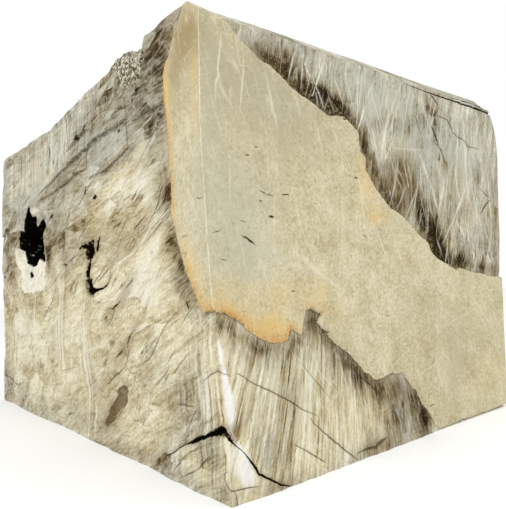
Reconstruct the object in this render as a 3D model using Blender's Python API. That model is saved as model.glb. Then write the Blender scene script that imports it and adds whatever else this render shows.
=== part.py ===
"""Quartzite block: one quarry block of vein quartzite, broken to a rough box.

Two faces meet at the near arris. A thin tan rind of old joint filling covers most of the front face
and wraps round that arris; where it has spalled away, grey fibrous rock shows a little lower. The
left face is cleft rock with bedding ledges, a deep cavity and open cracks. The worn top edge of the
front face belongs to a thin top bed that has broken back over the rest of the block.

Units are metres and +Z is up. All shapes are drawn in the corner frame, whose origin is the near
bottom corner, with +X along the front face and +Y along the left face. The last step parents them
to an empty that puts the origin at the centre of the base.
"""
import bmesh
import bpy
import numpy as np
from mathutils import Vector

# ---- Driving dimensions ---------------------------------------------------------------------
HEIGHT = 1.597           # top of the main bed above the base
WIDTH = 1.85             # front face, along X
LENGTH = 2.45            # left face, along Y
TOP_BED = 0.046          # thickness of the broken top bed
EDGE_WEAR = 0.050        # how far the worn top edge leans back from the front face
RIND = 0.016             # how far the tan rind stands proud of the rock
RIND_ROOT = 0.050        # how deep the rind solid is sunk in the rock, to weld them
COARSE_RELIEF = 0.011    # swells and hollows of a cleft face, either way
COARSE_SIZE = 0.52       # how far apart they lie
FINE_RELIEF = 0.006      # lumps of a cleft face, either way
FINE_SIZE = 0.17         # how far apart they lie
FRONT_ROUGHNESS = 0.5    # share of that relief on the front and the top
TOP_ROUGHNESS = 0.5
RIGHT_ROUGHNESS = 1.7    # and on the two far faces, which split more coarsely
BACK_ROUGHNESS = 2.0
FOOT_LEAN = 0.018        # how far the foot of the left face leans in
FOOT_HEIGHT = 0.25       # and up to what height
BREAK_AT = 0.72          # how far back from the corner the top bed has broken
BREAK_SLOPE = 0.30       # how much further back the break lies per metre along X
BREAK_SWING = 0.10       # how far the break wanders, either way
BREAK_SIZE = 0.30        # and over what length
BED_END = 1.86           # where the top bed ends along X
FRONT_SEED, LEFT_SEED, RIGHT_SEED, BACK_SEED, TOP_SEED, BREAK_SEED = 11, 23, 37, 41, 67, 53
CELLS = (24, 29, 20)     # facets along X, Y and Z
SETTLING_PASSES = 8      # turns that bring every skin point to rest between the six faces
SHARP_ANGLE = 28         # degrees between facets that still read as an edge
OUTSIDE = 0.040          # how far cutters start outside the face they cut
FLARE = 0.7              # half width of a crack's cutter there, for a crack 1 wide at the face

# Plan and profile lines of the broken faces: (height, how far the line stands in)
ARRIS_X = ((0, -0.009), (0.1, -0.001), (0.22, 0.004), (0.45, -0.011), (0.60, -0.020),
           (0.80, -0.022), (1.16, -0.029), (1.34, -0.028), (1.60, -0.026))
ARRIS_Y = ((0, -0.012), (0.1, -0.005), (0.22, -0.003), (0.45, 0.008), (0.60, 0.028),
           (0.80, 0.043), (1.16, 0.048), (1.34, 0.047), (1.60, 0.040))
FAR_LEFT_X = ((0, 0.030), (0.3, 0.020), (1.60, 0.028))
FAR_FRONT_Y = ((0, -0.016), (0.4, -0.010), (0.68, -0.008), (0.9, -0.018), (1.60, -0.028))
RIGHT_X = ((0, 1.797), (0.25, 1.827), (0.55, 1.851), (0.66, 1.857), (0.72, 1.868), (0.85, 1.876),
           (1.10, 1.890), (1.36, 1.905), (1.44, 1.894), (1.52, 1.871), (1.60, 1.835))
RIGHT_MEAN_X = 1.868     # the far side away from the front face
BACK_Y = ((0, 2.495), (0.15, 2.485), (0.33, 2.433), (0.55, 2.445), (0.85, 2.480),
          (1.12, 2.446), (1.23, 2.488), (1.42, 2.415), (1.54, 2.452), (1.60, 2.440))
BACK_MEAN_Y = 2.462      # the back away from the left face

# Tan rind: its outer arrises (height, x, y), then its broken edges on three faces
RIND_ARRIS = ((0.605, -0.029, 0.019), (0.66, -0.032, 0.023), (0.82, -0.039, 0.027),
              (1.00, -0.042, 0.030), (1.17, -0.046, 0.032), (1.35, -0.045, 0.031),
              (1.50, -0.042, 0.029), (1.59, -0.040, 0.028))
RIND_FAR_ARRIS = ((0.012, 1.806, -0.033), (0.25, 1.836, -0.028), (0.45, 1.852, -0.024),
                  (0.68, 1.864, -0.022))
RIND_TOP_EDGE = ((1.793, 0.682), (1.622, 0.705), (1.461, 0.730), (1.384, 0.735),
                 (1.241, 0.790), (1.207, 0.814), (1.193, 0.849), (1.116, 0.890), (1.000, 0.965),
                 (0.923, 0.996), (0.837, 1.066), (0.774, 1.142), (0.778, 1.192), (0.749, 1.218),
                 (0.738, 1.298), (0.651, 1.354), (0.554, 1.341), (0.515, 1.357), (0.368, 1.415),
                 (0.269, 1.477), (0.220, 1.483), (0.140, 1.530), (0.080, 1.585))
RIND_LOW_EDGE = ((0.053, 0.574), (0.092, 0.549), (0.158, 0.499), (0.256, 0.474), (0.286, 0.484),
                 (0.310, 0.519), (0.347, 0.494), (0.369, 0.539), (0.386, 0.580), (0.431, 0.574),
                 (0.438, 0.529), (0.470, 0.500), (0.503, 0.465), (0.601, 0.405), (0.699, 0.315),
                 (0.748, 0.285), (0.896, 0.291), (0.955, 0.256), (1.014, 0.206), (1.054, 0.142),
                 (1.094, 0.102), (1.144, 0.040), (1.180, 0.012))
RIND_WRAP_EDGE = ((0.060, 1.609), (0.097, 1.622), (0.137, 1.575), (0.206, 1.526), (0.245, 1.482),
                  (0.259, 1.443), (0.257, 1.364), (0.246, 1.285), (0.235, 1.187), (0.231, 1.090),
                  (0.234, 0.993), (0.245, 0.944), (0.217, 0.876), (0.189, 0.797), (0.159, 0.719),
                  (0.120, 0.650), (0.091, 0.596))
RIND_FOOT = ((1.400, 0.012), (1.600, 0.012))
RIND_SIDE_EDGE = ((0.460, 0.012), (0.480, 0.090), (0.410, 0.160), (0.430, 0.270), (0.335, 0.345),
                  (0.350, 0.440), (0.250, 0.500), (0.230, 0.590), (0.110, 0.610), (0.070, 0.675))


# ---- Surfaces of the cleft rock -------------------------------------------------------------
def lattice_value(i, j, seed):
    """A repeatable number from 0 to 1 for each whole-number place of a lattice."""
    mixed = (i.astype(np.int64) * 3747613 + j.astype(np.int64) * 6682657 + seed * 97463) & 0xFFFFFF
    mixed = ((mixed ^ (mixed >> 11)) * 1274127) & 0xFFFFFFF
    return ((mixed ^ (mixed >> 13)) & 0xFFFF) / 65535.0


def swell(u, v, size, seed):
    """Faceted hills and hollows between -1 and 1, about one in each square of the given size."""
    u, v = np.asarray(u, float) / size, np.asarray(v, float) / size
    i, j = np.floor(u), np.floor(v)
    s, t = u - i, v - j
    low = lattice_value(i, j, seed) * (1 - s) + lattice_value(i + 1, j, seed) * s
    high = lattice_value(i, j + 1, seed) * (1 - s) + lattice_value(i + 1, j + 1, seed) * s
    return 2 * (low * (1 - t) + high * t) - 1


def profile(table, height):
    """Read a (height, offset) line of the block at any height."""
    heights, offsets = zip(*table)
    return np.interp(height, heights, offsets)


def ramp(value, start, end):
    """0 before start, 1 after end, straight between."""
    return np.clip((value - start) / (end - start), 0, 1)


def cleft(u, v, seed):
    """Relief of a face that split under the wedge."""
    coarse = COARSE_RELIEF * swell(u, v, COARSE_SIZE, seed)
    return coarse + FINE_RELIEF * swell(u, v, FINE_SIZE, seed + 1)


def front_y(x, z):
    """Rock under the rind and in the two spalls: the plane from arris to far edge, with relief."""
    along = x / WIDTH
    plane = profile(ARRIS_Y, z) * (1 - along) + profile(FAR_FRONT_Y, z) * along
    calm = ramp(x, 0.0, 0.25) * ramp(WIDTH - x, 0.0, 0.2) * ramp(z, 0.0, 0.15)
    return plane + FRONT_ROUGHNESS * calm * cleft(x, z, FRONT_SEED)


def left_x(y, z):
    """The left face: wedge-split rock that leans in a little at its foot."""
    along = y / LENGTH
    plane = profile(ARRIS_X, z) * (1 - along) + profile(FAR_LEFT_X, z) * along
    foot = FOOT_LEAN * ramp(y, 0.15, 0.6) * ramp(FOOT_HEIGHT - z, 0.0, FOOT_HEIGHT) * (1 - along)
    calm = ramp(y, 0.0, 0.35) * ramp(LENGTH - y, 0.0, 0.2) * ramp(z, 0.0, 0.15)
    return plane + foot + calm * cleft(y, z, LEFT_SEED)


def right_x(y, z):
    """The far side, rougher, bulging at two thirds of its height where it meets the front."""
    away = ramp(y, 0.0, 0.9)
    line = profile(RIGHT_X, z) * (1 - away) + RIGHT_MEAN_X * away
    return line + RIGHT_ROUGHNESS * ramp(y, 0.0, 0.3) * cleft(y, z, RIGHT_SEED)


def back_y(x, z):
    """The back, the roughest face."""
    away = ramp(x, 0.0, 0.5)
    line = profile(BACK_Y, z) * (1 - away) + BACK_MEAN_Y * away
    return line + BACK_ROUGHNESS * ramp(x, 0.0, 0.3) * cleft(x, z, BACK_SEED)


def top_z(x, y):
    """The top: the main bed, and in front the thin bed over it, whose worn edge leans back."""
    wander = BREAK_SWING * swell(x, x * 0 + 0.5, BREAK_SIZE, BREAK_SEED)
    broken_line = BREAK_AT + BREAK_SLOPE * x + wander
    on_bed = ramp(broken_line - y, -0.05, 0.05) * ramp(BED_END - x + 0.6 * (y - 0.1), 0.0, 0.05)
    relief = TOP_ROUGHNESS * ramp(y, 0.1, 0.4) * cleft(x, y, TOP_SEED)
    level = HEIGHT - 0.004 + TOP_BED * on_bed + relief
    worn = ramp(y - front_y(x, HEIGHT), 0.0, EDGE_WEAR)
    edge = HEIGHT - 0.014 * ramp(x, 0.0, WIDTH)
    return edge + (level - edge) * worn


def shell_lattice(nx, ny, nz):
    """Shares (a, b, c) of a box's surface points, and its side, top and base faces."""
    a, b, c = (np.linspace(0, 1, n + 1) for n in (nx, ny, nz))
    worn_share = (EDGE_WEAR + 0.01) / LENGTH
    b = np.sort(np.append(b, worn_share))
    ny = ny + 1
    index = -np.ones((nx + 1, ny + 1, nz + 1), int)
    i, j, k = np.meshgrid(*(np.arange(n + 1) for n in (nx, ny, nz)), indexing="ij")
    skin = (i == 0) | (i == nx) | (j == 0) | (j == ny) | (k == 0) | (k == nz)
    index[skin] = np.arange(skin.sum())
    shares = np.stack([a[i[skin]], b[j[skin]], c[k[skin]]], 1)

    def quads(sheet, flip):
        ring = [sheet[:-1, :-1], sheet[1:, :-1], sheet[1:, 1:], sheet[:-1, 1:]]
        ring = ring[::-1] if flip else ring
        return np.stack([corner.ravel() for corner in ring], 1).tolist()

    faces = quads(index[:, 0, :], False) + quads(index[:, -1, :], True)
    faces += quads(index[0], True) + quads(index[-1], False)
    faces += quads(index[:, :, -1], False)
    base = index[:, :, 0]
    rim = list(base[:-1, 0]) + list(base[-1, :-1]) + list(base[:0:-1, -1]) + list(base[0, :0:-1])
    return shares, faces, [int(v) for v in rim[::-1]]


def rock_mesh():
    """The block without its rind: every skin point settles between the six face surfaces."""
    shares, faces, rim = shell_lattice(*CELLS)
    a, b, c = shares.T
    x, y, z = a * WIDTH, b * LENGTH, c * HEIGHT
    for _ in range(SETTLING_PASSES):
        x = left_x(y, z) * (1 - a) + right_x(y, z) * a
        y = front_y(x, z) * (1 - b) + back_y(x, z) * b
        z = top_z(x, y) * c
    points = np.stack([x, y, z], 1)
    used = sorted({v for face in faces for v in face} | set(rim))
    renumber = {old: new for new, old in enumerate(used)}
    faces = [[renumber[v] for v in face] for face in faces + [rim]]
    return points[used], faces


# ---- Places on the two visible faces --------------------------------------------------------
def on_front(x, z, out=0.0):
    """A point of the front rock face, moved out from it, and the way out."""
    return Vector((x, float(front_y(x, z)) - out, z)), Vector((0, -1, 0))


def on_left(y, z, out=0.0):
    """A point of the left rock face, moved out from it, and the way out."""
    return Vector((float(left_x(y, z)) - out, y, z)), Vector((-1, 0, 0))


def on_right(y, z, out=0.0):
    """A point of the far side, moved out from it, and the way out."""
    return Vector((float(right_x(y, z)) + out, y, z)), Vector((1, 0, 0))


def on_back(x, z, out=0.0):
    """A point of the back, moved out from it, and the way out."""
    return Vector((x, float(back_y(x, z)) + out, z)), Vector((0, 1, 0))


def on_top(x, y, out=0.0):
    """A point of the top, moved up from it, and the way up."""
    return Vector((x, y, float(top_z(x, y)) + out)), Vector((0, 0, 1))


def on_arris(z):
    """A point of the near arris, with the way out halfway between the two faces."""
    return Vector((profile(ARRIS_X, z), profile(ARRIS_Y, z), z)), Vector((-1, -1, 0)).normalized()


def new_object(name, points, faces):
    """A mesh object from points and faces, in triangles that all face outwards."""
    mesh = bpy.data.meshes.new(name)
    mesh.from_pydata([tuple(point) for point in points], [], faces)
    shell = bmesh.new()
    shell.from_mesh(mesh)
    bmesh.ops.triangulate(shell, faces=shell.faces)
    bmesh.ops.recalc_face_normals(shell, faces=shell.faces)
    shell.to_mesh(mesh)
    shell.free()
    piece = bpy.data.objects.new(name, mesh)
    bpy.context.scene.collection.objects.link(piece)
    return piece


def rind():
    """The tan rind: a skin over three faces and the two arrises between them."""
    def front_skin(x, z):
        along = x / WIDTH
        near = np.interp(z, [row[0] for row in RIND_ARRIS], [row[2] for row in RIND_ARRIS])
        far = profile(FAR_FRONT_Y, z) - 0.8 * RIND
        return Vector((x, near * (1 - along) + far * along, z))

    def wrap_skin(y, z):
        near = np.interp(z, [row[0] for row in RIND_ARRIS], [row[1] for row in RIND_ARRIS])
        return Vector((min(near, float(left_x(y, z)) - 0.6 * RIND), y, z))

    near_arris = [Vector((x, y, z)) for z, x, y in RIND_ARRIS]
    far_arris = [Vector((x, y, z)) for z, x, y in RIND_FAR_ARRIS]
    low = [front_skin(x, z) for x, z in RIND_LOW_EDGE + RIND_FOOT]
    high = [front_skin(x, z) for x, z in RIND_TOP_EDGE]
    wrap = [wrap_skin(y, z) for y, z in RIND_WRAP_EDGE]
    side = [Vector((float(right_x(y, z)) + 0.6 * RIND, y, z)) for y, z in RIND_SIDE_EDGE]

    runs, points, sunk = [], [], []
    ways = (Vector((1, 1, 0)), Vector((-1, 1, 0)), Vector((0, 1, 0)), Vector((0, 1, 0)),
            Vector((1, 0, 0)), Vector((-1, 0, 0)))
    for run, way in zip((near_arris, far_arris, low, high, wrap, side), ways):
        runs.append(list(range(len(points), len(points) + len(run))))
        points += run
        sunk += [point + way * RIND_ROOT for point in run]
    near, far, low, high, wrap, side = runs
    outer = [near[::-1] + low + far + high, near + wrap, far[::-1] + side]
    rim = low + far[:1] + side + far[-1:] + high + near[-1:] + wrap + near[:1]
    count = len(points)
    faces = outer + [[count + v for v in face[::-1]] for face in outer]
    for here, there in zip(rim, rim[1:] + rim[:1]):
        faces.append([there, here, count + here, count + there])
    return new_object("rind_layer", points + sunk, faces)


def groove(name, stations):
    """A wedge along a crack or under a ledge. Each station: (point, way out), width, depth."""
    points, faces = [], []
    centres = [station[0][0] for station in stations]
    for number, ((centre, out), width, depth) in enumerate(stations):
        before, after = centres[max(number - 1, 0)], centres[min(number + 1, len(centres) - 1)]
        across = (after - before).cross(out).normalized()
        points += [centre + out * OUTSIDE + across * width * FLARE,
                   centre + out * OUTSIDE - across * width * FLARE, centre - out * depth]
    for start in range(0, len(points) - 3, 3):
        for k in range(3):
            near, far = start + k, start + (k + 1) % 3
            faces.append([near, far, far + 3, near + 3])
    faces += [[2, 1, 0], [len(points) - 3, len(points) - 2, len(points) - 1]]
    return new_object(name, points, faces)


def hollow(name, place, outline, depth, floor=0.6, shift=(0.0, 0.0)):
    """A pit with straight sloping walls, from its mouth outline to a smaller, shifted floor."""
    outline, shift = np.array(outline), np.array(shift)
    middle = outline.mean(0)
    inward = (outline - middle) * (floor - 1) + shift
    way = place(*middle)[1]
    above = outline - inward * OUTSIDE / depth
    points = [place(u, v, 0.0)[0] + way * OUTSIDE for u, v in above]
    points += [place(u, v, 0.0)[0] - way * depth for u, v in outline + inward]
    count = len(outline)
    faces = [list(range(count)), [count + v for v in range(count)]]
    for here in range(count):
        there = (here + 1) % count
        faces.append([here, there, count + there, count + here])
    return new_object(name, points, faces)


def along_face(place, rows):
    """Stations of a groove on one face, from rows of (u, v, width, depth)."""
    return [(place(u, v), width, depth) for u, v, width, depth in rows]


def cracks_and_ledges():
    """Long narrow cutters, each a wedge along a hand-drawn line."""
    corner_crack = along_face(on_left, ((0.392, 0.071, 0.006, 0.010), (0.306, 0.113, 0.014, 0.035),
                                        (0.185, 0.163, 0.026, 0.060), (0.105, 0.188, 0.034, 0.080)))
    corner_crack += [(on_arris(0.222), 0.055, 0.090)]
    corner_crack += along_face(on_front, ((0.072, 0.139, 0.022, 0.060), (0.121, 0.075, 0.016, 0.040),
                                          (0.180, 0.045, 0.008, 0.012)))
    yield groove("crack_near_corner", corner_crack)
    yield groove("crack_left", along_face(on_left, (
        (0.860, 0.895, 0.010, 0.010), (0.940, 0.882, 0.040, 0.050), (0.995, 0.860, 0.065, 0.080),
        (1.003, 0.780, 0.035, 0.070), (0.997, 0.712, 0.060, 0.080), (0.910, 0.694, 0.018, 0.030),
        (0.800, 0.706, 0.008, 0.010))))
    yield groove("ledge_left_upper", along_face(on_left, (
        (1.672, 1.250, 0.006, 0.004), (1.405, 1.278, 0.020, 0.012), (1.193, 1.304, 0.024, 0.014),
        (0.879, 1.350, 0.024, 0.014), (0.589, 1.370, 0.020, 0.012), (0.310, 1.352, 0.006, 0.004))))
    yield groove("ledge_left_lower", along_face(on_left, (
        (1.758, 1.215, 0.006, 0.004), (1.403, 1.201, 0.020, 0.010), (1.086, 1.228, 0.024, 0.012),
        (0.824, 1.223, 0.024, 0.012), (0.587, 1.250, 0.018, 0.010), (0.526, 1.299, 0.006, 0.004))))
    yield groove("crack_right_bed", along_face(on_right, (
        (0.420, 1.240, 0.006, 0.004), (0.800, 1.262, 0.018, 0.025), (1.050, 1.270, 0.010, 0.012))))
    yield groove("crack_back_upright", along_face(on_back, (
        (1.420, 1.480, 0.006, 0.004), (1.450, 1.220, 0.020, 0.030), (1.390, 0.980, 0.016, 0.020),
        (1.440, 0.860, 0.006, 0.004))))
    yield groove("ledge_under_top_bed", along_face(on_front, (
        (1.080, 1.583, 0.008, 0.010), (1.300, 1.582, 0.014, 0.045), (1.600, 1.581, 0.016, 0.055),
        (1.900, 1.579, 0.016, 0.055))))
    yield groove("crack_front_upper", along_face(on_front, (
        (1.275, 1.476, 0.006, 0.004), (1.424, 1.468, 0.012, 0.012), (1.463, 1.409, 0.012, 0.014),
        (1.604, 1.360, 0.012, 0.012), (1.705, 1.356, 0.006, 0.004))))
    yield groove("crack_front_lower", along_face(on_front, (
        (0.055, 0.399, 0.006, 0.004), (0.203, 0.314, 0.010, 0.008), (0.351, 0.235, 0.012, 0.009),
        (0.499, 0.095, 0.012, 0.009), (0.590, 0.035, 0.006, 0.004))))


def pits():
    """Wide cutters: the cavity, its sloping sill, the oval pit, the step and the flake scars."""
    yield hollow("cavity_sill", on_left, ((2.144, 0.975), (2.130, 0.885), (2.060, 0.830),
                 (2.000, 0.702), (1.826, 0.698), (1.650, 0.712), (1.618, 0.860), (1.640, 0.955),
                 (1.900, 0.930)), 0.040, floor=0.80, shift=(0.0, 0.05))
    yield hollow("cavity", on_left, ((1.910, 1.222), (1.832, 1.145), (1.745, 1.134), (1.648, 1.103),
                 (1.616, 1.062), (1.695, 0.992), (1.711, 0.902), (1.808, 0.892), (1.915, 0.867),
                 (1.975, 0.900), (2.047, 0.994), (2.085, 1.035), (2.000, 1.080), (1.984, 1.136)),
                 0.190, floor=0.55, shift=(-0.03, 0.02))
    yield hollow("oval_pit", on_left, ((0.924, 0.099), (0.854, 0.187), (0.781, 0.268),
                 (0.728, 0.289), (0.700, 0.262), (0.735, 0.200), (0.832, 0.122)), 0.040,
                 floor=0.35, shift=(0.01, 0.02))
    yield hollow("split_step", on_left, ((0.990, 0.860), (0.985, 0.720), (0.800, 0.714),
                 (0.780, 0.769), (0.738, 0.799), (0.574, 0.808), (0.520, 0.872), (0.640, 0.900),
                 (0.820, 0.905)), 0.016, floor=0.80, shift=(0.02, 0.03))
    yield hollow("granular_scar", on_left, ((0.450, 1.700), (0.430, 1.560), (0.500, 1.515),
                 (0.640, 1.540), (0.700, 1.600), (0.620, 1.700)), 0.018, floor=0.75)
    yield hollow("flake_back_upper", on_back, ((0.250, 1.560), (0.320, 1.180), (0.560, 0.960),
                 (0.950, 1.020), (1.180, 1.260), (1.120, 1.540)), 0.050, floor=0.62,
                 shift=(0.0, 0.08))
    yield hollow("flake_back_lower", on_back, ((0.900, 0.640), (1.050, 0.260), (1.380, 0.200),
                 (1.640, 0.380), (1.580, 0.700), (1.240, 0.780)), 0.045, floor=0.60,
                 shift=(0.06, -0.03))
    yield hollow("flake_right_upper", on_right, ((1.050, 1.380), (1.220, 0.980), (1.600, 0.860),
                 (1.950, 1.040), (1.900, 1.380), (1.500, 1.470)), 0.042, floor=0.64,
                 shift=(0.05, 0.06))
    yield hollow("flake_right_lower", on_right, ((0.660, 0.680), (0.720, 0.360), (1.060, 0.240),
                 (1.330, 0.420), (1.240, 0.700), (0.930, 0.800)), 0.036, floor=0.60,
                 shift=(-0.04, 0.04))
    yield hollow("flake_top", on_top, ((0.500, 1.560), (0.760, 1.380), (1.180, 1.480),
                 (1.300, 1.800), (1.020, 2.060), (0.620, 1.940)), 0.026, floor=0.62,
                 shift=(0.05, 0.06))
    yield hollow("flake_scar_front", on_front, ((1.694, 1.142), (1.810, 1.092), (1.698, 1.005),
                 (1.670, 1.075)), 0.010, floor=0.45, shift=(-0.02, 0.0))


# ---- The block ------------------------------------------------------------------------------
def boolean(block, piece, operation):
    """Join or cut one piece, and leave it as a guide that isn't part of the block."""
    cut = block.modifiers.new(piece.name, "BOOLEAN")
    cut.operation = operation
    cut.solver = "EXACT"
    cut.object = piece
    piece.hide_render = True
    piece.display_type = "WIRE"


def quartzite_material():
    material = bpy.data.materials.new("cleft_quartzite")
    material.use_nodes = True
    shader = material.node_tree.nodes["Principled BSDF"]
    shader.inputs["Base Color"].default_value = (0.58, 0.53, 0.38, 1)
    shader.inputs["Roughness"].default_value = 0.82
    shader.inputs["Metallic"].default_value = 0.0
    return material


def stand_on_origin(pieces, points):
    """Parent every piece to an empty that brings the middle of the base to the origin."""
    centre = bpy.data.objects.new("corner_frame", None)
    bpy.context.scene.collection.objects.link(centre)
    low, high = points.min(0), points.max(0)
    centre.location = (-(low[0] + high[0]) / 2, -(low[1] + high[1]) / 2, 0)
    for piece in pieces:
        piece.parent = centre


def main():
    for old in list(bpy.data.objects):
        bpy.data.objects.remove(old)
    points, faces = rock_mesh()
    block = new_object("quartzite_block", points, faces)
    block.data.materials.append(quartzite_material())
    block.data.shade_smooth()
    block.data.set_sharp_from_angle(angle=np.radians(SHARP_ANGLE))
    skin = rind()
    boolean(block, skin, "UNION")
    cutters = list(pits()) + list(cracks_and_ledges())
    for cutter in cutters:
        boolean(block, cutter, "DIFFERENCE")
    skin_points = np.array([vertex.co for vertex in skin.data.vertices])
    stand_on_origin([block, skin] + cutters, np.vstack([points, skin_points]))


main()
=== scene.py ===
# %% [markdown]
# # A quartzite quarry block
# The object is one stone: a block of vein quartzite, split out of a quarry face and left rough. This
# lesson builds it as one closed surface whose relief is worked out with numpy, and then gives it the
# colours of the real rock with shader nodes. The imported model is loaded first. It is the fixed frame:
# it says where the stone stands and how big it is, and the detailed stone takes its place.

# %% Load the frame
import bmesh
import bpy
import numpy as np
from mathutils import Matrix, Vector


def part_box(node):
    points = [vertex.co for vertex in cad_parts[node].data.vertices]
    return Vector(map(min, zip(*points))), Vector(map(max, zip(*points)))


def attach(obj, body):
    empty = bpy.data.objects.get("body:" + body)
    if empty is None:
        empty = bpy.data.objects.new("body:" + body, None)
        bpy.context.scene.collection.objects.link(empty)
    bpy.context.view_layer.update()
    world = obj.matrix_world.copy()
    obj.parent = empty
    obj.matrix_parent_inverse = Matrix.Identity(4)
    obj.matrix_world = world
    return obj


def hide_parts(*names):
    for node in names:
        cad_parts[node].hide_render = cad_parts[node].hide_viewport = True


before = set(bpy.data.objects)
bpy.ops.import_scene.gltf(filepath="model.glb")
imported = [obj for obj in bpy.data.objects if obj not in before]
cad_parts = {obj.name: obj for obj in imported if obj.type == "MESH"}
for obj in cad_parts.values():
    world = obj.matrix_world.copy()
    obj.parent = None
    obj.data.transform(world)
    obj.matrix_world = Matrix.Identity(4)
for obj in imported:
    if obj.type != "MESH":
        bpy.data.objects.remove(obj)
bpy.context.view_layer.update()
node_low, node_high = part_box("quartzite_block")
print("frame holds", sorted(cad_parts), "box", list(node_low), list(node_high))

# %% [markdown]
# Everything below is drawn in the **corner frame**: its origin is the near bottom corner of the stone,
# X runs along the front face, Y along the left face and Z up. That is how a quarryman would measure a
# block, with a tape from one corner. The frame's own origin is the middle of the base, so one vector
# carries the corner frame over to it. The tan rind bulges a little past the corner, which is why the
# lowest corner of the box isn't quite the corner that was measured from.

# %% The corner frame
BULGE_X = 0.0460       # the stone reaches this far past its bottom corner to the left
BULGE_Y = 0.0330       # and this far towards the front
CORNER = np.array([node_low[0] + BULGE_X, node_low[1] + BULGE_Y, 0.0])
print("near bottom corner at", CORNER)

# %% [markdown]
# The camera stands close to the near edge of the block, about four tenths of its height above the
# ground, and looks very slightly up. Standing that close is what makes the two faces fall away so
# steeply. The lens is set in millimetres for Blender's 36 mm sensor. The three vectors are the
# camera's own right, down and forward directions, measured in the corner frame.

# %% Camera
SENSOR = 36.0
LENS_IN_FRAME_HEIGHTS = 1.05024        # focal length over the height of the frame
EYE = np.array([-1.0258, -1.3511, 0.6674])
RIGHT = Vector((0.76157, -0.64674, -0.04169))
DOWN = Vector((0.00985, 0.07588, -0.99707))
FORWARD = Vector((0.64801, 0.75893, 0.06416))


def place_camera():
    """A camera whose axes are the three measured directions, at the measured eye point."""
    data = bpy.data.cameras.new("view_camera")
    data.sensor_width = SENSOR
    data.lens = LENS_IN_FRAME_HEIGHTS * SENSOR
    camera = bpy.data.objects.new("view_camera", data)
    bpy.context.scene.collection.objects.link(camera)
    turn = Matrix((RIGHT, -DOWN, -FORWARD)).transposed()
    camera.matrix_world = Matrix.Translation(Vector(EYE + CORNER)) @ turn.to_4x4()
    bpy.context.scene.camera = camera
    return camera


camera = place_camera()
print("camera", [round(value, 3) for value in camera.location], "lens", round(camera.data.lens, 2))

# %% [markdown]
# ## The outline of the broken box
# No edge of a split block is straight. Each table follows one line of the block as pairs of height
# and place, with as many points as the line has bends. Reading a table at any height is a linear
# interpolation, so a face can be drawn between two such lines. Tables of points are written in whole
# millimetres, the way they would be read off a tape, and turned into metres at once.

# %% Lines of the block
HEIGHT = 1.597         # top of the main bed above the base
WIDTH = 1.85           # front face, along X
LENGTH = 2.45          # left face, along Y
TOP_BED = 0.046        # thickness of the broken top bed
EDGE_WEAR = 0.050      # how far the worn top edge leans back from the front face
RIND = 0.016           # how far the tan rind stands proud of the rock


def metres(rows):
    """Nested rows of millimetres, every number divided by 1000."""
    if isinstance(rows, (list, tuple)):
        return type(rows)(metres(row) for row in rows)
    return rows / 1000


ARRIS_X = metres(((0, -9), (100, -1), (220, 4), (450, -11), (600, -20), (800, -22), (1160, -29),
                  (1340, -28), (1600, -26)))
ARRIS_Y = metres(((0, -12), (100, -5), (220, -3), (450, 8), (600, 28), (800, 43), (1160, 48), (1340, 47),
                  (1600, 40)))
FAR_LEFT_X = metres(((0, 30), (300, 20), (1600, 28)))
FAR_FRONT_Y = metres(((0, -16), (400, -10), (680, -8), (900, -18), (1600, -28)))
RIGHT_X = metres(((0, 1797), (250, 1827), (550, 1851), (660, 1857), (720, 1868), (850, 1876),
                  (1100, 1890), (1360, 1905), (1440, 1894), (1520, 1871), (1600, 1835)))
RIGHT_MEAN_X = 1.868   # the far side away from the front face
BACK_Y = metres(((0, 2495), (150, 2485), (330, 2433), (550, 2445), (850, 2480), (1120, 2446),
                 (1230, 2488), (1420, 2415), (1540, 2452), (1600, 2440)))
BACK_MEAN_Y = 2.462    # the back away from the left face
RIND_NEAR_X = metres(((605, -29), (660, -32), (820, -39), (1000, -42), (1170, -46), (1350, -45),
                      (1500, -42), (1590, -40)))
RIND_NEAR_Y = metres(((605, 19), (660, 23), (820, 27), (1000, 30), (1170, 32), (1350, 31), (1500, 29),
                      (1590, 28)))


def line(table, height):
    """Straight interpolation between the (height, place) points of a table."""
    heights, places = zip(*table)
    return np.interp(height, heights, places)


def ramp(value, start, end):
    """0 up to start, 1 from end on, straight between."""
    return np.clip((value - start) / (end - start), 0, 1)


def ease(value, start, end):
    """Like ramp, but leaving 0 and reaching 1 softly: 3t^2 - 2t^3."""
    t = ramp(value, start, end)
    return t * t * (3 - 2 * t)


def between(start, end, share):
    """start x (1 - share) + end x share."""
    return start * (1 - share) + end * share


print("front face", WIDTH, "m, left face", LENGTH, "m, height", HEIGHT, "m")

# %% [markdown]
# ## Noise for broken stone
# Rock breaks at every scale, so its relief is a sum of smooth hills of many sizes. A hashed lattice
# gives each whole-number place a repeatable value: large multipliers and shifts scramble its bits.
# That needs no random generator and no seed state, and the same stone comes out each time. `fractal`
# adds octaves, each half as wide and half as high, and turned a little so that their grids don't
# agree. `ridged` folds the hills over at zero, which turns their zero lines into sharp crests, the
# way a fibrous rock splits.

# %% Noise
def lattice_value(i, j, seed):
    """A repeatable number from 0 to 1 for each whole-number place of a lattice."""
    mixed = (i.astype(np.int64) * 3747613 + j.astype(np.int64) * 6682657 + seed * 97463) & 0xFFFFFF
    mixed = ((mixed ^ (mixed >> 11)) * 1274127) & 0xFFFFFFF
    return ((mixed ^ (mixed >> 13)) & 0xFFFF) / 65535.0


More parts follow.
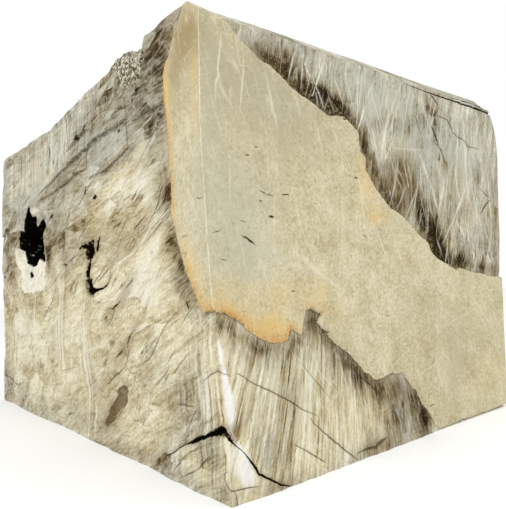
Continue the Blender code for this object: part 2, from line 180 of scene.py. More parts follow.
def hills(u, v, size, seed):
    """Smooth hills from -1 to 1: lattice values blended by 3t^2 - 2t^3 along u and v."""
    u, v = u / size, v / size
    i, j = np.floor(u), np.floor(v)
    s, t = u - i, v - j
    s, t = s * s * (3 - 2 * s), t * t * (3 - 2 * t)
    low = lattice_value(i, j, seed) * (1 - s) + lattice_value(i + 1, j, seed) * s
    high = lattice_value(i, j + 1, seed) * (1 - s) + lattice_value(i + 1, j + 1, seed) * s
    return 2 * (low * (1 - t) + high * t) - 1


def fractal(u, v, size, octaves, seed, fade=0.5):
    """Sum of hills, each octave half the size and `fade` times the height, about -1 to 1. Every
    octave is turned by the angle whose cosine is 0.8 and whose sine is 0.6."""
    total, height = 0.0, 1.0
    for octave in range(octaves):
        u, v = 0.8 * u + 0.6 * v, -0.6 * u + 0.8 * v
        total = total + height * hills(u, v, size / 2 ** octave, seed + 13 * octave)
        height *= fade
    return total * (1 - fade)


def ridged(u, v, size, octaves, seed):
    """Crests where the fractal crosses zero: 1 - 3.2|f|, about -1 to 1."""
    return 1 - 3.2 * np.abs(fractal(u, v, size, octaves, seed))


def cleft(u, v, seed):
    """The large relief of a wedge-split face: hills of 520 mm, 11 mm high, and of 170 mm, 6 mm high,
    as the solid has."""
    return 0.011 * hills(u, v, 0.52, seed) + 0.006 * hills(u, v, 0.17, seed + 1)


print("noise check", round(float(fractal(np.array([0.3]), np.array([0.7]), 0.1, 4, 5)[0]), 4))

# %% [markdown]
# ## Cracks, pits and outlines
# A few small tools cut and stain the stone. `carve` follows a given line and returns how deep a
# V-shaped groove is at each point, with its own width and depth at every station. `inside` measures
# the signed distance to a closed outline, which makes both a crisp colour boundary and an even wall.
# `pit` turns an outline into a hollow. `fading` dies away from an outline outwards, `clad` lays the rind
# over the rock inside one, and `patches` adds up soft stains. Each takes whole arrays of points.

# %% Cutting tools
def from_segment(u, v, start, end):
    """Share of the way along a segment, held from 0 to 1, and the distance from that place."""
    du, dv = end[0] - start[0], end[1] - start[1]
    out_u, out_v = u - start[0], v - start[1]
    t = np.clip((out_u * du + out_v * dv) / (du * du + dv * dv), 0, 1)
    return t, np.hypot(out_u - t * du, out_v - t * dv)


def carve(u, v, stations, least=0.0):
    """Depth of a V groove along (u, v, width, depth) stations: depth x (1 - distance / half width),
    where no half width is under `least`."""
    deepest = np.zeros_like(u)
    for (*start, w0, d0), (*end, w1, d1) in zip(stations, stations[1:]):
        t, away = from_segment(u, v, start, end)
        half = np.maximum(least, 0.5 * (w0 + (w1 - w0) * t))
        deepest = np.maximum(deepest, (d0 + (d1 - d0) * t) * np.clip(1 - away / half, 0, 1))
    return deepest


def inside(u, v, outline):
    """Signed distance to a closed outline, positive inside, by nearest edge and crossing count."""
    nearest = np.full(u.shape, 9.0)
    crossed = np.zeros(u.shape, bool)
    for (u0, v0), (u1, v1) in zip(outline, outline[1:] + outline[:1]):
        nearest = np.minimum(nearest, from_segment(u, v, (u0, v0), (u1, v1))[1])
        if v0 != v1:
            crossed ^= ((v0 > v) != (v1 > v)) & (u < u0 + (v - v0) * (u1 - u0) / (v1 - v0))
    return np.where(crossed, nearest, -nearest)


def pit(distance, depth, wall):
    """A hollow from a signed distance: it reaches its depth one wall width inside the outline."""
    return depth * ease(distance, 0.0, wall)


def fading(distance, reach):
    """1 where the distance is 0 or less, fading as exp(-distance / reach) beyond."""
    return np.exp(-np.clip(distance, 0, 1) / reach)


def clad(rock, skin, distance):
    """Rock outside an outline and skin inside, blended over 8 mm about the signed distance 2 mm."""
    return between(rock, skin, ease(distance, -0.002, 0.006))


def patches(u, v, rows):
    """Soft stains: the sum of amount x exp(-r^2) over tilted ellipses (u, v, ru, rv, tilt, amount)."""
    total = np.zeros_like(u)
    for u0, v0, ru, rv, tilt, amount in rows:
        cos, sin = np.cos(np.radians(tilt)), np.sin(np.radians(tilt))
        along, across = (u - u0) * cos + (v - v0) * sin, (v - v0) * cos - (u - u0) * sin
        total += amount * np.exp(-(along / ru) ** 2 - (across / rv) ** 2)
    return total


print("tools ready")

# %% [markdown]
# ## The tan rind
# Where an old joint opened in the rock, silica and iron-stained clay filled it and set hard. When the
# block came away it kept that filling as a thin tan rind, smooth as plaster, over most of the front
# and round the near edge. It has broken back along a ragged line, and the rock below is exposed.
# The line is drawn on each face. A little noise is added to its distance, because a broken
# edge is ragged at every scale.

# %% Outlines of the rind
RIND_TOP_EDGE = metres([
    (1793, 682), (1622, 705), (1461, 730), (1432, 721), (1384, 735), (1241, 790), (1207, 814),
    (1193, 849), (1116, 890), (1048, 940), (1000, 965), (923, 996), (837, 1066), (774, 1142), (778, 1192),
    (749, 1218), (738, 1298), (651, 1354), (554, 1341), (515, 1357), (368, 1415), (269, 1477),
    (220, 1483), (140, 1530), (80, 1585)])
RIND_LOW_EDGE = metres([
    (15, 594), (53, 574), (92, 549), (120, 519), (158, 499), (207, 484), (256, 474), (286, 484),
    (298, 514), (318, 519), (347, 494), (357, 499), (369, 539), (386, 579), (411, 584), (431, 574),
    (450, 564), (472, 571), (449, 554), (438, 529), (457, 514), (495, 494), (480, 489), (503, 465),
    (551, 435), (601, 405), (650, 355), (699, 315), (748, 285), (797, 284), (847, 291), (896, 291),
    (935, 281), (955, 256), (995, 211), (1014, 206), (1024, 181), (1054, 142), (1094, 102), (1144, 32),
    (1180, 6)])
RIND_WRAP_EDGE = metres([
    (60, 1612), (97, 1622), (137, 1580), (206, 1526), (211, 1511), (245, 1482), (259, 1443), (257, 1364),
    (246, 1285), (235, 1187), (231, 1090), (234, 993), (245, 944), (217, 876), (189, 797), (159, 719),
    (120, 650), (91, 592), (20, 606)])
RIND_SIDE_EDGE = metres([(460, 6), (480, 90), (410, 160), (430, 270), (335, 345), (350, 440), (250, 500),
                         (230, 590), (110, 610), (70, 675)])
PAST_EDGE = 0.4        # outlines run on this far past an arris, so that the rind wraps it

FRONT_OUTLINE = ([(-PAST_EDGE, 0.600)] + RIND_LOW_EDGE + [(WIDTH + PAST_EDGE, 0.006),
                 (WIDTH + PAST_EDGE, 0.680)] + RIND_TOP_EDGE + [(-PAST_EDGE, 1.700)])
LEFT_OUTLINE = RIND_WRAP_EDGE + [(-PAST_EDGE, 0.600), (-PAST_EDGE, 1.640)]
SIDE_OUTLINE = RIND_SIDE_EDGE + [(-PAST_EDGE, 0.680), (-PAST_EDGE, 0.006)]


def ragged(distance, u, v, seed):
    """A signed distance with a torn edge: noise of 50 mm and 12 mm added to it."""
    return distance + 0.006 * fractal(u, v, 0.05, 3, seed) + 0.0015 * hills(u, v, 0.012, seed + 7)


def front_rind(x, z):
    """Signed distance into the rind on the front face."""
    return ragged(inside(x, z, FRONT_OUTLINE), x, z, 101)


def left_rind(y, z):
    """Signed distance into the part of the rind that wraps onto the left face."""
    return ragged(inside(y, z, LEFT_OUTLINE), y, z, 103)


def side_rind(y, z):
    """Signed distance into the part that wraps onto the far side."""
    return ragged(inside(y, z, SIDE_OUTLINE), y, z, 105)


print("rind edge points", len(RIND_TOP_EDGE) + len(RIND_LOW_EDGE) + len(RIND_WRAP_EDGE))

# %% [markdown]
# ## The front face
# Cracks and lines are drawn on the block as if it were unrolled: u is measured from the near edge,
# to the right on the front and to the left, as a minus, on the left face. One crack can then run
# round the corner. Every point of a path is (u, v, width, depth). Spalls are places where a plate has
# come off, each an outline and a depth. A list of points is the plain way to draw a
# line that only chance has drawn.

# %% Cracks and spalls of the front face
CORNER_CRACK = metres([
    (-392, 71, 2, 1), (-348, 92, 4, 2), (-300, 120, 3, 2), (-245, 144, 4, 3), (-203, 158, 11, 8),
    (-165, 178, 17, 12), (-130, 188, 11, 10), (-95, 206, 18, 14), (-60, 216, 26, 18), (-36, 222, 30, 24),
    (-14, 210, 12, 14), (14, 188, 4, 4), (45, 158, 2, 2), (68, 132, 4, 4), (90, 110, 9, 8),
    (112, 72, 7, 8), (160, 44, 6, 6), (200, 18, 6, 4), (249, 0, 3, 2)])
FRONT_CRACKS = metres([
    [(1275, 1476, 3, 1), (1369, 1474, 4, 2), (1424, 1468, 5, 3), (1444, 1448, 6, 4), (1463, 1409, 6, 4),
     (1510, 1389, 5, 3), (1557, 1383, 6, 3), (1604, 1358, 5, 2), (1705, 1356, 3, 1)],
    [(1307, 1343, 4, 2), (1345, 1323, 8, 4), (1374, 1283, 9, 4), (1399, 1234, 4, 1)],
    [(55, 399, 3, 1), (124, 354, 4, 2), (178, 326, 5, 2), (270, 275, 6, 3), (320, 240, 4, 2),
     (392, 207, 2, 1)],
    [(355, 205, 2, 1), (384, 172, 4, 2), (453, 115, 6, 3), (554, 36, 6, 3), (596, 5, 3, 1)],
    [(275, 130, 3, 1), (350, 83, 5, 2), (411, 41, 3, 1)],
    [(600, 30, 5, 1), (660, 32, 8, 2), (705, 30, 16, 6), (740, 38, 20, 8), (772, 50, 6, 2)],
    [(-26, 150, 6, 2), (-24, 110, 4, 1), (-30, 70, 3, 1), (-10, 46, 4, 1), (40, 44, 5, 2),
     (104, 36, 3, 1)],
    [(10, 46, 2, 1), (20, 20, 4, 1), (22, -10, 4, 1)],
    [(1120, 1587, 2, 1), (1300, 1585, 6, 3), (1600, 1582, 10, 8), (1880, 1579, 12, 12)]])
FLAKE_SCAR = metres([(1694, 1142), (1806, 1092), (1771, 1043), (1698, 1005), (1665, 1075)])
SPALLS = metres([
    ([(320, 440), (378, 404), (553, 227), (605, 159), (470, 180), (430, 212), (395, 282)], 6),
    ([(0, 520), (106, 478), (130, 430), (80, 385), (45, 364), (10, 420)], 7),
    ([(0, 225), (32, 170), (90, 103), (150, 30), (100, -50), (-50, -50), (-50, 225)], 6)])
print("cracks on the front", len(FRONT_CRACKS), "with", sum(map(len, FRONT_CRACKS)), "points")

# %% [markdown]
# Below the rind the rock is fibrous. Its fibres stand almost upright and spread downwards like a fan
# in the lower spall, so the fluting is drawn over a fan coordinate: the sideways distance from the
# fan's middle, divided by the distance below its centre. In the upper spall they cross at steep
# angles. A flute is about 44 mm wide and 630 mm long, a ridge of the hatch 80 mm by 480 mm, and the
# lumps under both are 200 mm. `calm` is 0 at the block's edges, where the large swells may not move
# its outline, and `quiet` turns the small relief down there. The rind is laid on top, and last the
# cracks are cut into both.

# %% Relief of the front face
FAN_X, FAN_Z, FAN_REACH = 0.75, 2.00, 1.75     # centre of the lower fan, and where one metre is true
STRAIGHT = 0.4           # the bent near edge is straightened this far from it
FLUTE, HATCH = 0.003, 0.003        # heights of the flutes of the fan and of the hatch above
LUMP = 0.0045            # height of the lumps under both
UNDERCUT = 0.006         # the rock beside the rind has weathered back this far
WORN_RIM = 0.004         # and the rind's own rim this far, within 6 mm of its edge
LEAST_GROOVE = 0.008     # no groove has a half width under this, so that the mesh can follow it


def front_u(x, z):
    """Place along the unrolled front: X from the near edge, whose bends fade out over 0.4 m."""
    return x - line(ARRIS_X, z) * ramp(STRAIGHT - x, 0.0, STRAIGHT)


def left_u(y, z):
    """Place along the unrolled left face, from the same edge the other way: a minus sign."""
    return -(y - line(ARRIS_Y, z) * ramp(STRAIGHT - y, 0.0, STRAIGHT))


def fan(x, z):
    """Sideways place in the lower fan, in metres where the fan is FAN_REACH below its centre."""
    return (x - FAN_X) / (FAN_Z - z) * FAN_REACH


def front_plane(x, z):
    """The rock plane of the front: straight along X between the near and the far edge."""
    return between(line(ARRIS_Y, z), line(FAR_FRONT_Y, z), x / WIDTH)


def upper_spall(x, z):
    """1 above the slanting band of rind, 0 below it: the border drops 0.45 m for each metre of X."""
    return ease(z + 0.45 * x, 1.0, 1.2)


def grooves(u, v, paths):
    """Depth of the deepest of the V grooves along a list of paths."""
    cuts = np.zeros_like(u)
    for path in paths:
        cuts = np.maximum(cuts, carve(u, v, path, LEAST_GROOVE))
    return cuts


def chipped(rock, u, v, scars, wall, seed):
    """The rock with every scar, an outline and a depth, sunk into it. The rims wander by 2 mm."""
    for outline, depth in scars:
        rock = rock + pit(inside(u, v, outline) + 0.002 * fractal(u, v, 0.04, 3, seed), depth, wall)
    return rock


def front_relief(x, z):
    """How far the finished front stands back from its rock plane: the fluted and lumpy rock, or the
    rind inside its outline, and the grooves."""
    calm = ramp(x, 0.0, 0.25) * ramp(WIDTH - x, 0.0, 0.2) * ramp(z, 0.0, 0.15)
    quiet = 0.35 + 0.65 * ramp(x, -0.03, 0.06) * ramp(WIDTH - x, -0.05, 0.06)
    upper = upper_spall(x, z)
    flutes = FLUTE * ridged(fan(x, z) * 5.0, z * 0.35, 0.22, 4, seed=71)
    hatch = HATCH * ridged((x - 0.20 * z) * 3.0, z * 0.5, 0.24, 4, seed=73)
    lumps = LUMP * fractal(x, z, 0.20, 4, seed=75)
    rock = 0.5 * calm * cleft(x, z, seed=11)
    rock = rock - quiet * (flutes * (1 - upper) + hatch * upper + lumps)
    rock = rock + pit(inside(x, z, FLAKE_SCAR), depth=0.008, wall=0.05)
    u = front_u(x, z)
    rock = chipped(rock, u, z, SPALLS, wall=0.04, seed=79)
    distance = front_rind(x, z)
    rock = rock + UNDERCUT * fading(-distance, 0.05) * quiet

    skin = between(line(RIND_NEAR_Y, z), line(FAR_FRONT_Y, z) - 0.8 * RIND, x / WIDTH)
    skin = skin - front_plane(x, z) + 0.0012 * fractal(x, z, 0.22, 4, seed=81)
    skin = skin + WORN_RIM * fading(distance, 0.006)
    return clad(rock, skin, distance) + grooves(u, z, [CORNER_CRACK] + FRONT_CRACKS)


sample = np.array([0.9]), np.array([0.8])
print("front at x 0.9, z 0.8 stands at", front_plane(*sample) + front_relief(*sample))

# %% [markdown]
# ## The left face
# Bedding planes cross the upper part of this face, each leaving a ledge: the bed above stands a little
# proud. They are drawn as lines of (u, v, height of the ledge), and the cracks as on the front.

# %% Ledges and cracks of the left face
BEDS = metres([
    [(-1760, 1250, 0), (-1682, 1259, 6), (-1234, 1312, 12), (-970, 1349, 14), (-792, 1363, 12),
     (-622, 1368, 6), (-600, 1368, 0)],
    [(-545, 1354, 0), (-532, 1354, 10), (-378, 1355, 10), (-308, 1352, 8), (-258, 1344, 0)],
    [(-1780, 1210, 0), (-1744, 1216, 6), (-1301, 1231, 10), (-1144, 1248, 10), (-1018, 1256, 6),
     (-990, 1258, 0)],
    [(-970, 1198, 0), (-950, 1200, 8), (-775, 1207, 10), (-596, 1256, 10), (-560, 1270, 0)],
    [(-1300, 1375, 0), (-1143, 1398, 10), (-1070, 1407, 14), (-986, 1426, 12), (-900, 1415, 0)],
    [(-2470, 1075, 10), (-2369, 1105, 10), (-2250, 1130, 4), (-2200, 1135, 0)],
    [(-2470, 840, 6), (-2369, 848, 6), (-2283, 884, 10), (-2140, 888, 0)]])
LEFT_CRACKS = metres([
    [(-950, 915, 12, 6), (-975, 895, 40, 25), (-988, 870, 48, 30), (-1002, 840, 36, 25),
     (-1006, 780, 34, 22), (-1008, 730, 42, 25), (-995, 705, 70, 30), (-975, 690, 44, 25),
     (-930, 690, 14, 8), (-870, 698, 10, 5), (-820, 708, 6, 3), (-775, 745, 4, 2)],
    [(-1085, 890, 8, 2), (-1040, 898, 16, 5), (-990, 885, 30, 10)],
    [(-940, 870, 16, 6), (-915, 905, 10, 3), (-895, 925, 6, 2)],
    [(-2470, 168, 12, 6), (-2344, 159, 10, 6), (-2230, 140, 7, 3), (-2170, 136, 6, 3),
     (-2030, 165, 3, 1)],
    [(-596, 1457, 4, 2), (-592, 1375, 8, 4), (-585, 1260, 4, 2)],
    [(-978, 1519, 4, 2), (-985, 1400, 10, 4), (-1002, 1242, 4, 2)],
    [(-790, 262, 3, 1), (-728, 289, 7, 3), (-700, 268, 9, 4), (-713, 227, 9, 4), (-763, 177, 7, 3),
     (-840, 122, 3, 1)],
    [(-610, 352, 4, 2), (-650, 346, 6, 3), (-690, 362, 3, 1)],
    [(-590, 375, 3, 2), (-480, 420, 6, 3), (-400, 500, 5, 3), (-320, 560, 6, 3), (-247, 598, 3, 1)],
    [(-120, 372, 3, 2), (-80, 395, 6, 3), (-35, 412, 5, 3), (20, 400, 2, 1)],
    [(-1520, 1480, 8, 2), (-1525, 1430, 14, 4), (-1510, 1400, 6, 2)]])
print("ledges", len(BEDS), "and cracks", len(LEFT_CRACKS), "on the left face")

# %% [markdown]
# A vug, the hole where quartz crystals once grew into an open space, has broken open on the far half.
# Its lip below is a clean, cream-coloured sill that slopes into it, with a small hole of its own. An
# oval pit, a broken step, scars and a patch of loose grains at the top are outlines too. They are
# drawn over Y and Z, as they lie on this face alone.

# %% Hollows of the left face
CAVITY = metres([
    (1910, 1222), (1865, 1176), (1832, 1145), (1745, 1134), (1739, 1073), (1648, 1103), (1600, 1062),
    (1640, 1022), (1650, 962), (1640, 880), (1680, 862), (1765, 892), (1808, 852), (1850, 847),
    (1915, 857), (1990, 873), (2030, 923), (2067, 994), (2091, 1035), (2049, 1086), (1994, 1065),
    (1984, 1136), (1942, 1197)])
SILL = metres([(2144, 975), (2142, 893), (2065, 832), (2030, 731), (1997, 700), (1826, 700), (1656, 710),
               (1636, 740), (1615, 861), (1637, 960)])
SILL_HOLE = metres([(-1925, 812, 20, 10), (-1895, 803, 36, 16), (-1865, 796, 12, 8)])
OVAL_PIT = metres([(924, 99), (854, 187), (815, 217), (781, 268), (728, 289), (700, 268), (713, 227),
                   (763, 177), (832, 127), (907, 93)])
STEP = metres([(1020, 900), (995, 720), (800, 712), (769, 765), (709, 790), (653, 799), (560, 841),
               (422, 924), (307, 957), (240, 968), (262, 1040), (480, 1060), (820, 980)])
GRANULAR = metres([(450, 1700), (400, 1550), (440, 1490), (540, 1480), (660, 1525), (710, 1600),
                   (640, 1700)])
SCARS = metres([
    ([(330, 262), (190, 270), (175, 345), (240, 360), (330, 320)], 4),
    ([(190, 690), (260, 705), (330, 790), (300, 850), (215, 870)], 12),
    ([(330, 30), (220, 80), (215, 130), (120, 160), (60, 180), (-50, 190), (-50, -50), (300, -50)], 5)])
print("the vug spans", [round(max(way) - min(way), 2) for way in zip(*CAVITY)], "m along Y and Z")

# %% [markdown]
# The face split along the grain, and its streaks climb towards the near edge at about 27 degrees.
# Ridges along that grain, 144 mm apart and 580 mm long, lumps of 220 mm and terraced plates of 210 mm
# by 680 mm add up to its relief. The ledges, hollows and cracks follow, in the order in which a real
# stone gets them: first what the rock is, then what broke off, then the rind, then what opened last.

# %% Relief of the left face
STREAK_TILT = np.radians(27)
RIDGE, LEFT_LUMP, PLATE = 0.0045, 0.006, 0.006     # heights of grain ridges, lumps and plates
SHOULDER = 0.018         # the corner block under the top stands this far proud
LEFT_UNDERCUT = 0.005    # the rock beside the rind stands back this far on this face
LEDGE_REACH = 0.14       # above its line, the bed that stands proud dies away over this height
VUG_DEPTH, VUG_WALL = 0.15, 0.035
OVAL_DEPTH, OVAL_WALL = 0.035, 0.05        # a wall is the width over which a pit reaches its depth


def along_streaks(y, z):
    """Distance along the grain of the left face, which climbs towards the near edge."""
    return -y * np.cos(STREAK_TILT) + z * np.sin(STREAK_TILT)


def across_streaks(y, z):
    """Distance across the grain of the left face."""
    return y * np.sin(STREAK_TILT) + z * np.cos(STREAK_TILT)


def left_plane(y, z):
    """The rock plane of the left face, leaning in a little at its foot."""
    along = y / LENGTH
    plane = between(line(ARRIS_X, z), line(FAR_LEFT_X, z), along)
    return plane + 0.018 * ramp(y, 0.15, 0.6) * ramp(0.25 - z, 0.0, 0.25) * (1 - along)


def beds(u, z):
    """Ledges: above each bedding line the bed stands proud, most at the line, fading upwards as
    exp(-height / LEDGE_REACH). A narrow hollow runs under the line."""
    total = np.zeros_like(u)
    wavy = z + 0.002 * fractal(u, z, 0.10, 3, seed=91)
    for rows in BEDS:
        places, heights, ledges = zip(*rows)
        step = np.interp(u, places, ledges, left=0, right=0)
        above = wavy - np.interp(u, places, heights)
        total += step * ease(above, -0.003, 0.004) * np.exp(-np.clip(above, 0, 9) / LEDGE_REACH)
        total -= 0.6 * step * np.exp(-np.clip(-above, 0, 9) / 0.02) * (above < 0)
    return total


def terraces(value):
    """Rounds a value to whole steps whose risers take up a third of the way: flat, slope, flat."""
    return np.floor(value) + ease(value - np.floor(value), 0.35, 0.65)


def left_rock(y, z, quiet):
    """Relief of the left face's bare rock: swells, ridges, lumps, plates, ledges and broken places."""
    calm = ramp(y, 0.0, 0.35) * ramp(LENGTH - y, 0.0, 0.2) * ramp(z, 0.0, 0.15)
    s, t = along_streaks(y, z), across_streaks(y, z)
    grain_ridges = RIDGE * ridged(s * 0.45, t * 1.8, 0.26, 4, seed=31)
    lumps = LEFT_LUMP * fractal(y, z, 0.22, 4, seed=33)
    plates = PLATE * terraces(2.2 * fractal(s * 0.5, t * 1.6, 0.34, 2, seed=35))
    rock = calm * cleft(y, z, seed=23) - quiet * (grain_ridges + lumps + plates) - beds(left_u(y, z), z)
    rock = rock - SHOULDER * ease(z, 1.42, 1.56) * ease(y, 0.05, 0.15) * ease(-y, -0.74, -0.62)
    grit = inside(y, z, GRANULAR)
    crumbs = ridged(y, z, 0.030, 3, seed=37)
    rock = rock + ease(grit, -0.02, 0.03) * (0.010 - 0.008 * crumbs)
    step = inside(y, z, STEP) + 0.003 * fractal(y, z, 0.05, 3, seed=39)
    rock = rock + pit(step, depth=0.014, wall=0.06)
    return chipped(rock, y, z, SCARS, wall=0.03, seed=41)


def vug_distance(y, z):
    """Signed distance into the vug, its outline a little ragged."""
    return inside(y, z, CAVITY) + 0.007 * fractal(y, z, 0.05, 3, seed=47)


def sill_distance(y, z):
    """Signed distance into the pale sill below the vug."""
    return inside(y, z, SILL) + 0.005 * fractal(y, z, 0.05, 3, seed=45)


def left_relief(y, z):
    """How far the finished left face stands back from its rock plane: the rock or the rind on it,
    then the sill, the vug, the oval pit and the grooves."""
    quiet = 0.35 + 0.65 * ramp(y, -0.03, 0.10) * ramp(LENGTH - y, -0.05, 0.10)
    distance = left_rind(y, z)
    rock = left_rock(y, z, quiet) + LEFT_UNDERCUT * fading(-distance, 0.04) * quiet

    skin = np.minimum(line(RIND_NEAR_X, z), left_plane(y, z) - 0.6 * RIND) - left_plane(y, z)
    skin = skin + 0.0015 * fractal(y, z, 0.15, 4, seed=43)
    skin = skin + WORN_RIM * fading(distance, 0.006)
    surface = clad(rock, skin, distance)

    slope = 0.008 + 0.015 * ramp(z, 0.70, 0.98)
    flat = ease(sill_distance(y, z), 0.0, 0.02)
    surface = surface * (1 - 0.8 * flat) + slope * flat
    vug = vug_distance(y, z)
    surface = surface + pit(vug, VUG_DEPTH, VUG_WALL)
    surface = surface + 0.035 * ease(vug, 0.02, 0.06) * fractal(y, z, 0.09, 3, seed=49)
    oval = inside(y, z, OVAL_PIT) + 0.004 * fractal(y, z, 0.04, 3, seed=51)
    surface = surface + pit(oval, OVAL_DEPTH, OVAL_WALL)
    return surface + grooves(left_u(y, z), z, [CORNER_CRACK, SILL_HOLE] + LEFT_CRACKS)


sample = np.array([1.85]), np.array([1.0])
print("the vug is", round(float(left_relief(*sample)[0]), 3), "m deep at its middle")

# %% [markdown]
# ## The top and the two far faces
# Nothing here is smooth either. The top shows two beds, the upper one broken back along a jagged line
# and worn to a slant along the front. The back and the far side are rougher: the wedges left coarse
# steps there, and large flakes have come away, each a shallow dish with a crisp rim. The dishes are
# outlines with a depth, over Y and Z on the far side, X and Z on the back and X and Y on the top.

# %% Flakes and cracks of the top, far side and back
FLAKES_BACK = metres([
    ([(250, 1560), (320, 1180), (560, 960), (950, 1020), (1180, 1260), (1120, 1540)], 50),
    ([(900, 640), (1050, 260), (1380, 200), (1640, 380), (1580, 700), (1240, 780)], 45)])
FLAKES_SIDE = metres([
    ([(1050, 1380), (1220, 980), (1600, 860), (1950, 1040), (1900, 1380), (1500, 1470)], 42),
    ([(660, 680), (720, 360), (1060, 240), (1330, 420), (1240, 700), (930, 800)], 36)])
FLAKES_TOP = metres([
    ([(500, 1560), (760, 1380), (1180, 1480), (1300, 1800), (1020, 2060), (620, 1940)], 26)])
CRACK_SIDE = metres([(420, 1240, 12, 4), (800, 1262, 22, 25), (1050, 1270, 12, 12)])
CRACK_BACK = metres([(1420, 1480, 12, 4), (1450, 1220, 24, 30), (1390, 980, 20, 20), (1440, 860, 12, 4)])


def flakes(u, v, scars, seed):
    """Shallow dishes where flakes came off, with rims that wander a little."""
    total = np.zeros_like(u)
    for outline, depth in scars:
        distance = inside(u, v, outline) + 0.012 * fractal(u, v, 0.10, 3, seed)
        dish, rim = pit(distance, depth, wall=0.16), pit(distance, depth, wall=0.03)
        total = np.maximum(total, dish * 0.6 + rim * 0.4)
    return total


def rough(u, v, seed):
    """Coarse relief of a hidden face: lumps, and a height rounded to whole steps of 10 mm."""
    steps = 0.010 * np.round(1.5 * fractal(u * 0.6, v * 1.3, 0.40, 3, seed + 2))
    return 0.010 * fractal(u, v, 0.20, 5, seed + 4, 0.55) + steps


def right_plane(y, z):
    """The far side, bulging at two thirds of its height where it meets the front."""
    return between(line(RIGHT_X, z), RIGHT_MEAN_X, ramp(y, 0.0, 0.9))


def right_relief(y, z):
    """How far the far side stands out from its plane."""
    calm = ramp(y, 0.0, 0.3)
    rock = 1.7 * calm * cleft(y, z, seed=37) + (0.2 + 0.8 * calm) * rough(y, z, seed=140)
    rock = rock - flakes(y, z, FLAKES_SIDE, seed=143) - carve(y, z, CRACK_SIDE)
    skin = 0.6 * RIND + 1.7 * calm * cleft(y, z, seed=37) + 0.0015 * fractal(y, z, 0.15, 4, seed=145)
    return clad(rock, skin, side_rind(y, z))


def back_plane(x, z):
    """The back, wavy where it meets the left face and plainer away from it."""
    return between(line(BACK_Y, z), BACK_MEAN_Y, ramp(x, 0.0, 0.5))


def back_relief(x, z):
    """How far the back stands out from its plane."""
    calm = ramp(x, 0.0, 0.3)
    rock = 2.0 * calm * cleft(x, z, seed=41) + (0.25 + 0.75 * calm) * rough(x, z, seed=150)
    return rock - flakes(x, z, FLAKES_BACK, seed=153) - carve(x, z, CRACK_BACK)


x, z = np.array([0.75]), np.array([1.25])
print("the back's large flake is", -round(float(back_relief(x, z)[0]), 3), "m deep")

# %% [markdown]
# The top is the main bed with a thin bed on part of it. Along the left edge its height follows a line
# of (Y, height) pairs, because the broken end of the thin bed shows there. The front edge is worn to
# a slant over its last 50 mm, and `away` keeps the swells off the front as `calm` does elsewhere.

# %% Relief of the top
LEFT_TOP = metres(((50, 1628), (100, 1640), (400, 1646), (424, 1614), (450, 1608), (540, 1640),
                   (590, 1645), (685, 1636), (715, 1622), (876, 1600), (1016, 1592), (1350, 1580),
                   (1860, 1589), (2480, 1601)))


def top_relief(x, y):
    """How far the top stands above the main bed: the thin bed, its broken line and its worn edge.
    Along the left edge the height follows its own line, which fades out 0.25 m in."""
    broken_line = 0.72 + 0.30 * x + 0.10 * hills(x, x * 0 + 0.5, 0.30, seed=53)
    broken_line = broken_line + 0.05 * fractal(x, y, 0.12, 3, seed=55)
    on_bed = ease(broken_line - y, -0.012, 0.012) * ease(1.86 - x + 0.6 * (y - 0.1), 0.0, 0.03)
    away = ramp(y, 0.1, 0.4)
    level = TOP_BED * on_bed - 0.004 + 0.5 * away * cleft(x, y, seed=67)
    level = level + (0.2 + 0.8 * away) * 0.007 * fractal(x, y, 0.20, 5, seed=57, fade=0.55)
    level = level - flakes(x, y, FLAKES_TOP, seed=59)
    by_edge = line(LEFT_TOP, y) - HEIGHT + 0.003 * fractal(x, y, 0.06, 3, seed=63)
    level = by_edge + (level - by_edge) * ramp(x, 0.04, 0.25)
    worn = ramp(y - front_plane(x, HEIGHT), 0.0, EDGE_WEAR)
    edge = -0.014 * ramp(x, 0.0, WIDTH) + 0.002 * fractal(x, y, 0.05, 3, seed=61)
    return edge + (level - edge) * worn


print("top bed stands", round(float(top_relief(np.array([0.8]), np.array([0.4]))[0]), 3), "m up")

# %% [markdown]
# ## One closed skin
# A cube could be subdivided and displaced along its normals, but deep cuts at an edge would then fold
# over themselves. Here each point of a box lattice knows its three shares, from 0 to 1, of the way
# across the block. Its X is the blend of the left and right planes at its own Y and Z, and in the same
# way for Y and Z. Those rules are applied a few times until the points settle on the plain box. That
# place is a point's home. The relief then moves it from home straight in or out of its face, so a
# pit's rim lies exactly where it was drawn. The two faces that show most are cut twice as fine.

# %% Lattice of shares
CELL = 0.0125         # lattice spacing on the far faces; half on the near


def box_lattice(counts):
    """Shares and quads of a box's skin: the whole-number lattice points that lie on a side."""
    nx, ny, nz = counts
    i, j, k = np.meshgrid(*(np.arange(n + 1) for n in counts), indexing="ij")
    skin = (i == 0) | (i == nx) | (j == 0) | (j == ny) | (k == 0) | (k == nz)
    index = np.full(skin.shape, -1)
    index[skin] = np.arange(skin.sum())
    shares = np.stack([i[skin] / nx, j[skin] / ny, k[skin] / nz], 1)

    def quads(sheet, flip):
        """Four corner numbers for every cell of a sheet, in the order that faces outwards."""
        ring = [sheet[:-1, :-1], sheet[1:, :-1], sheet[1:, 1:], sheet[:-1, 1:]]
        return np.stack([corner.ravel() for corner in (ring[::-1] if flip else ring)], 1)

    sides = [quads(index[:, 0, :], False), quads(index[:, -1, :], True),
             quads(index[0], True), quads(index[-1], False),
             quads(index[:, :, -1], False), quads(index[:, :, 0], True)]
    return shares, np.concatenate(sides)


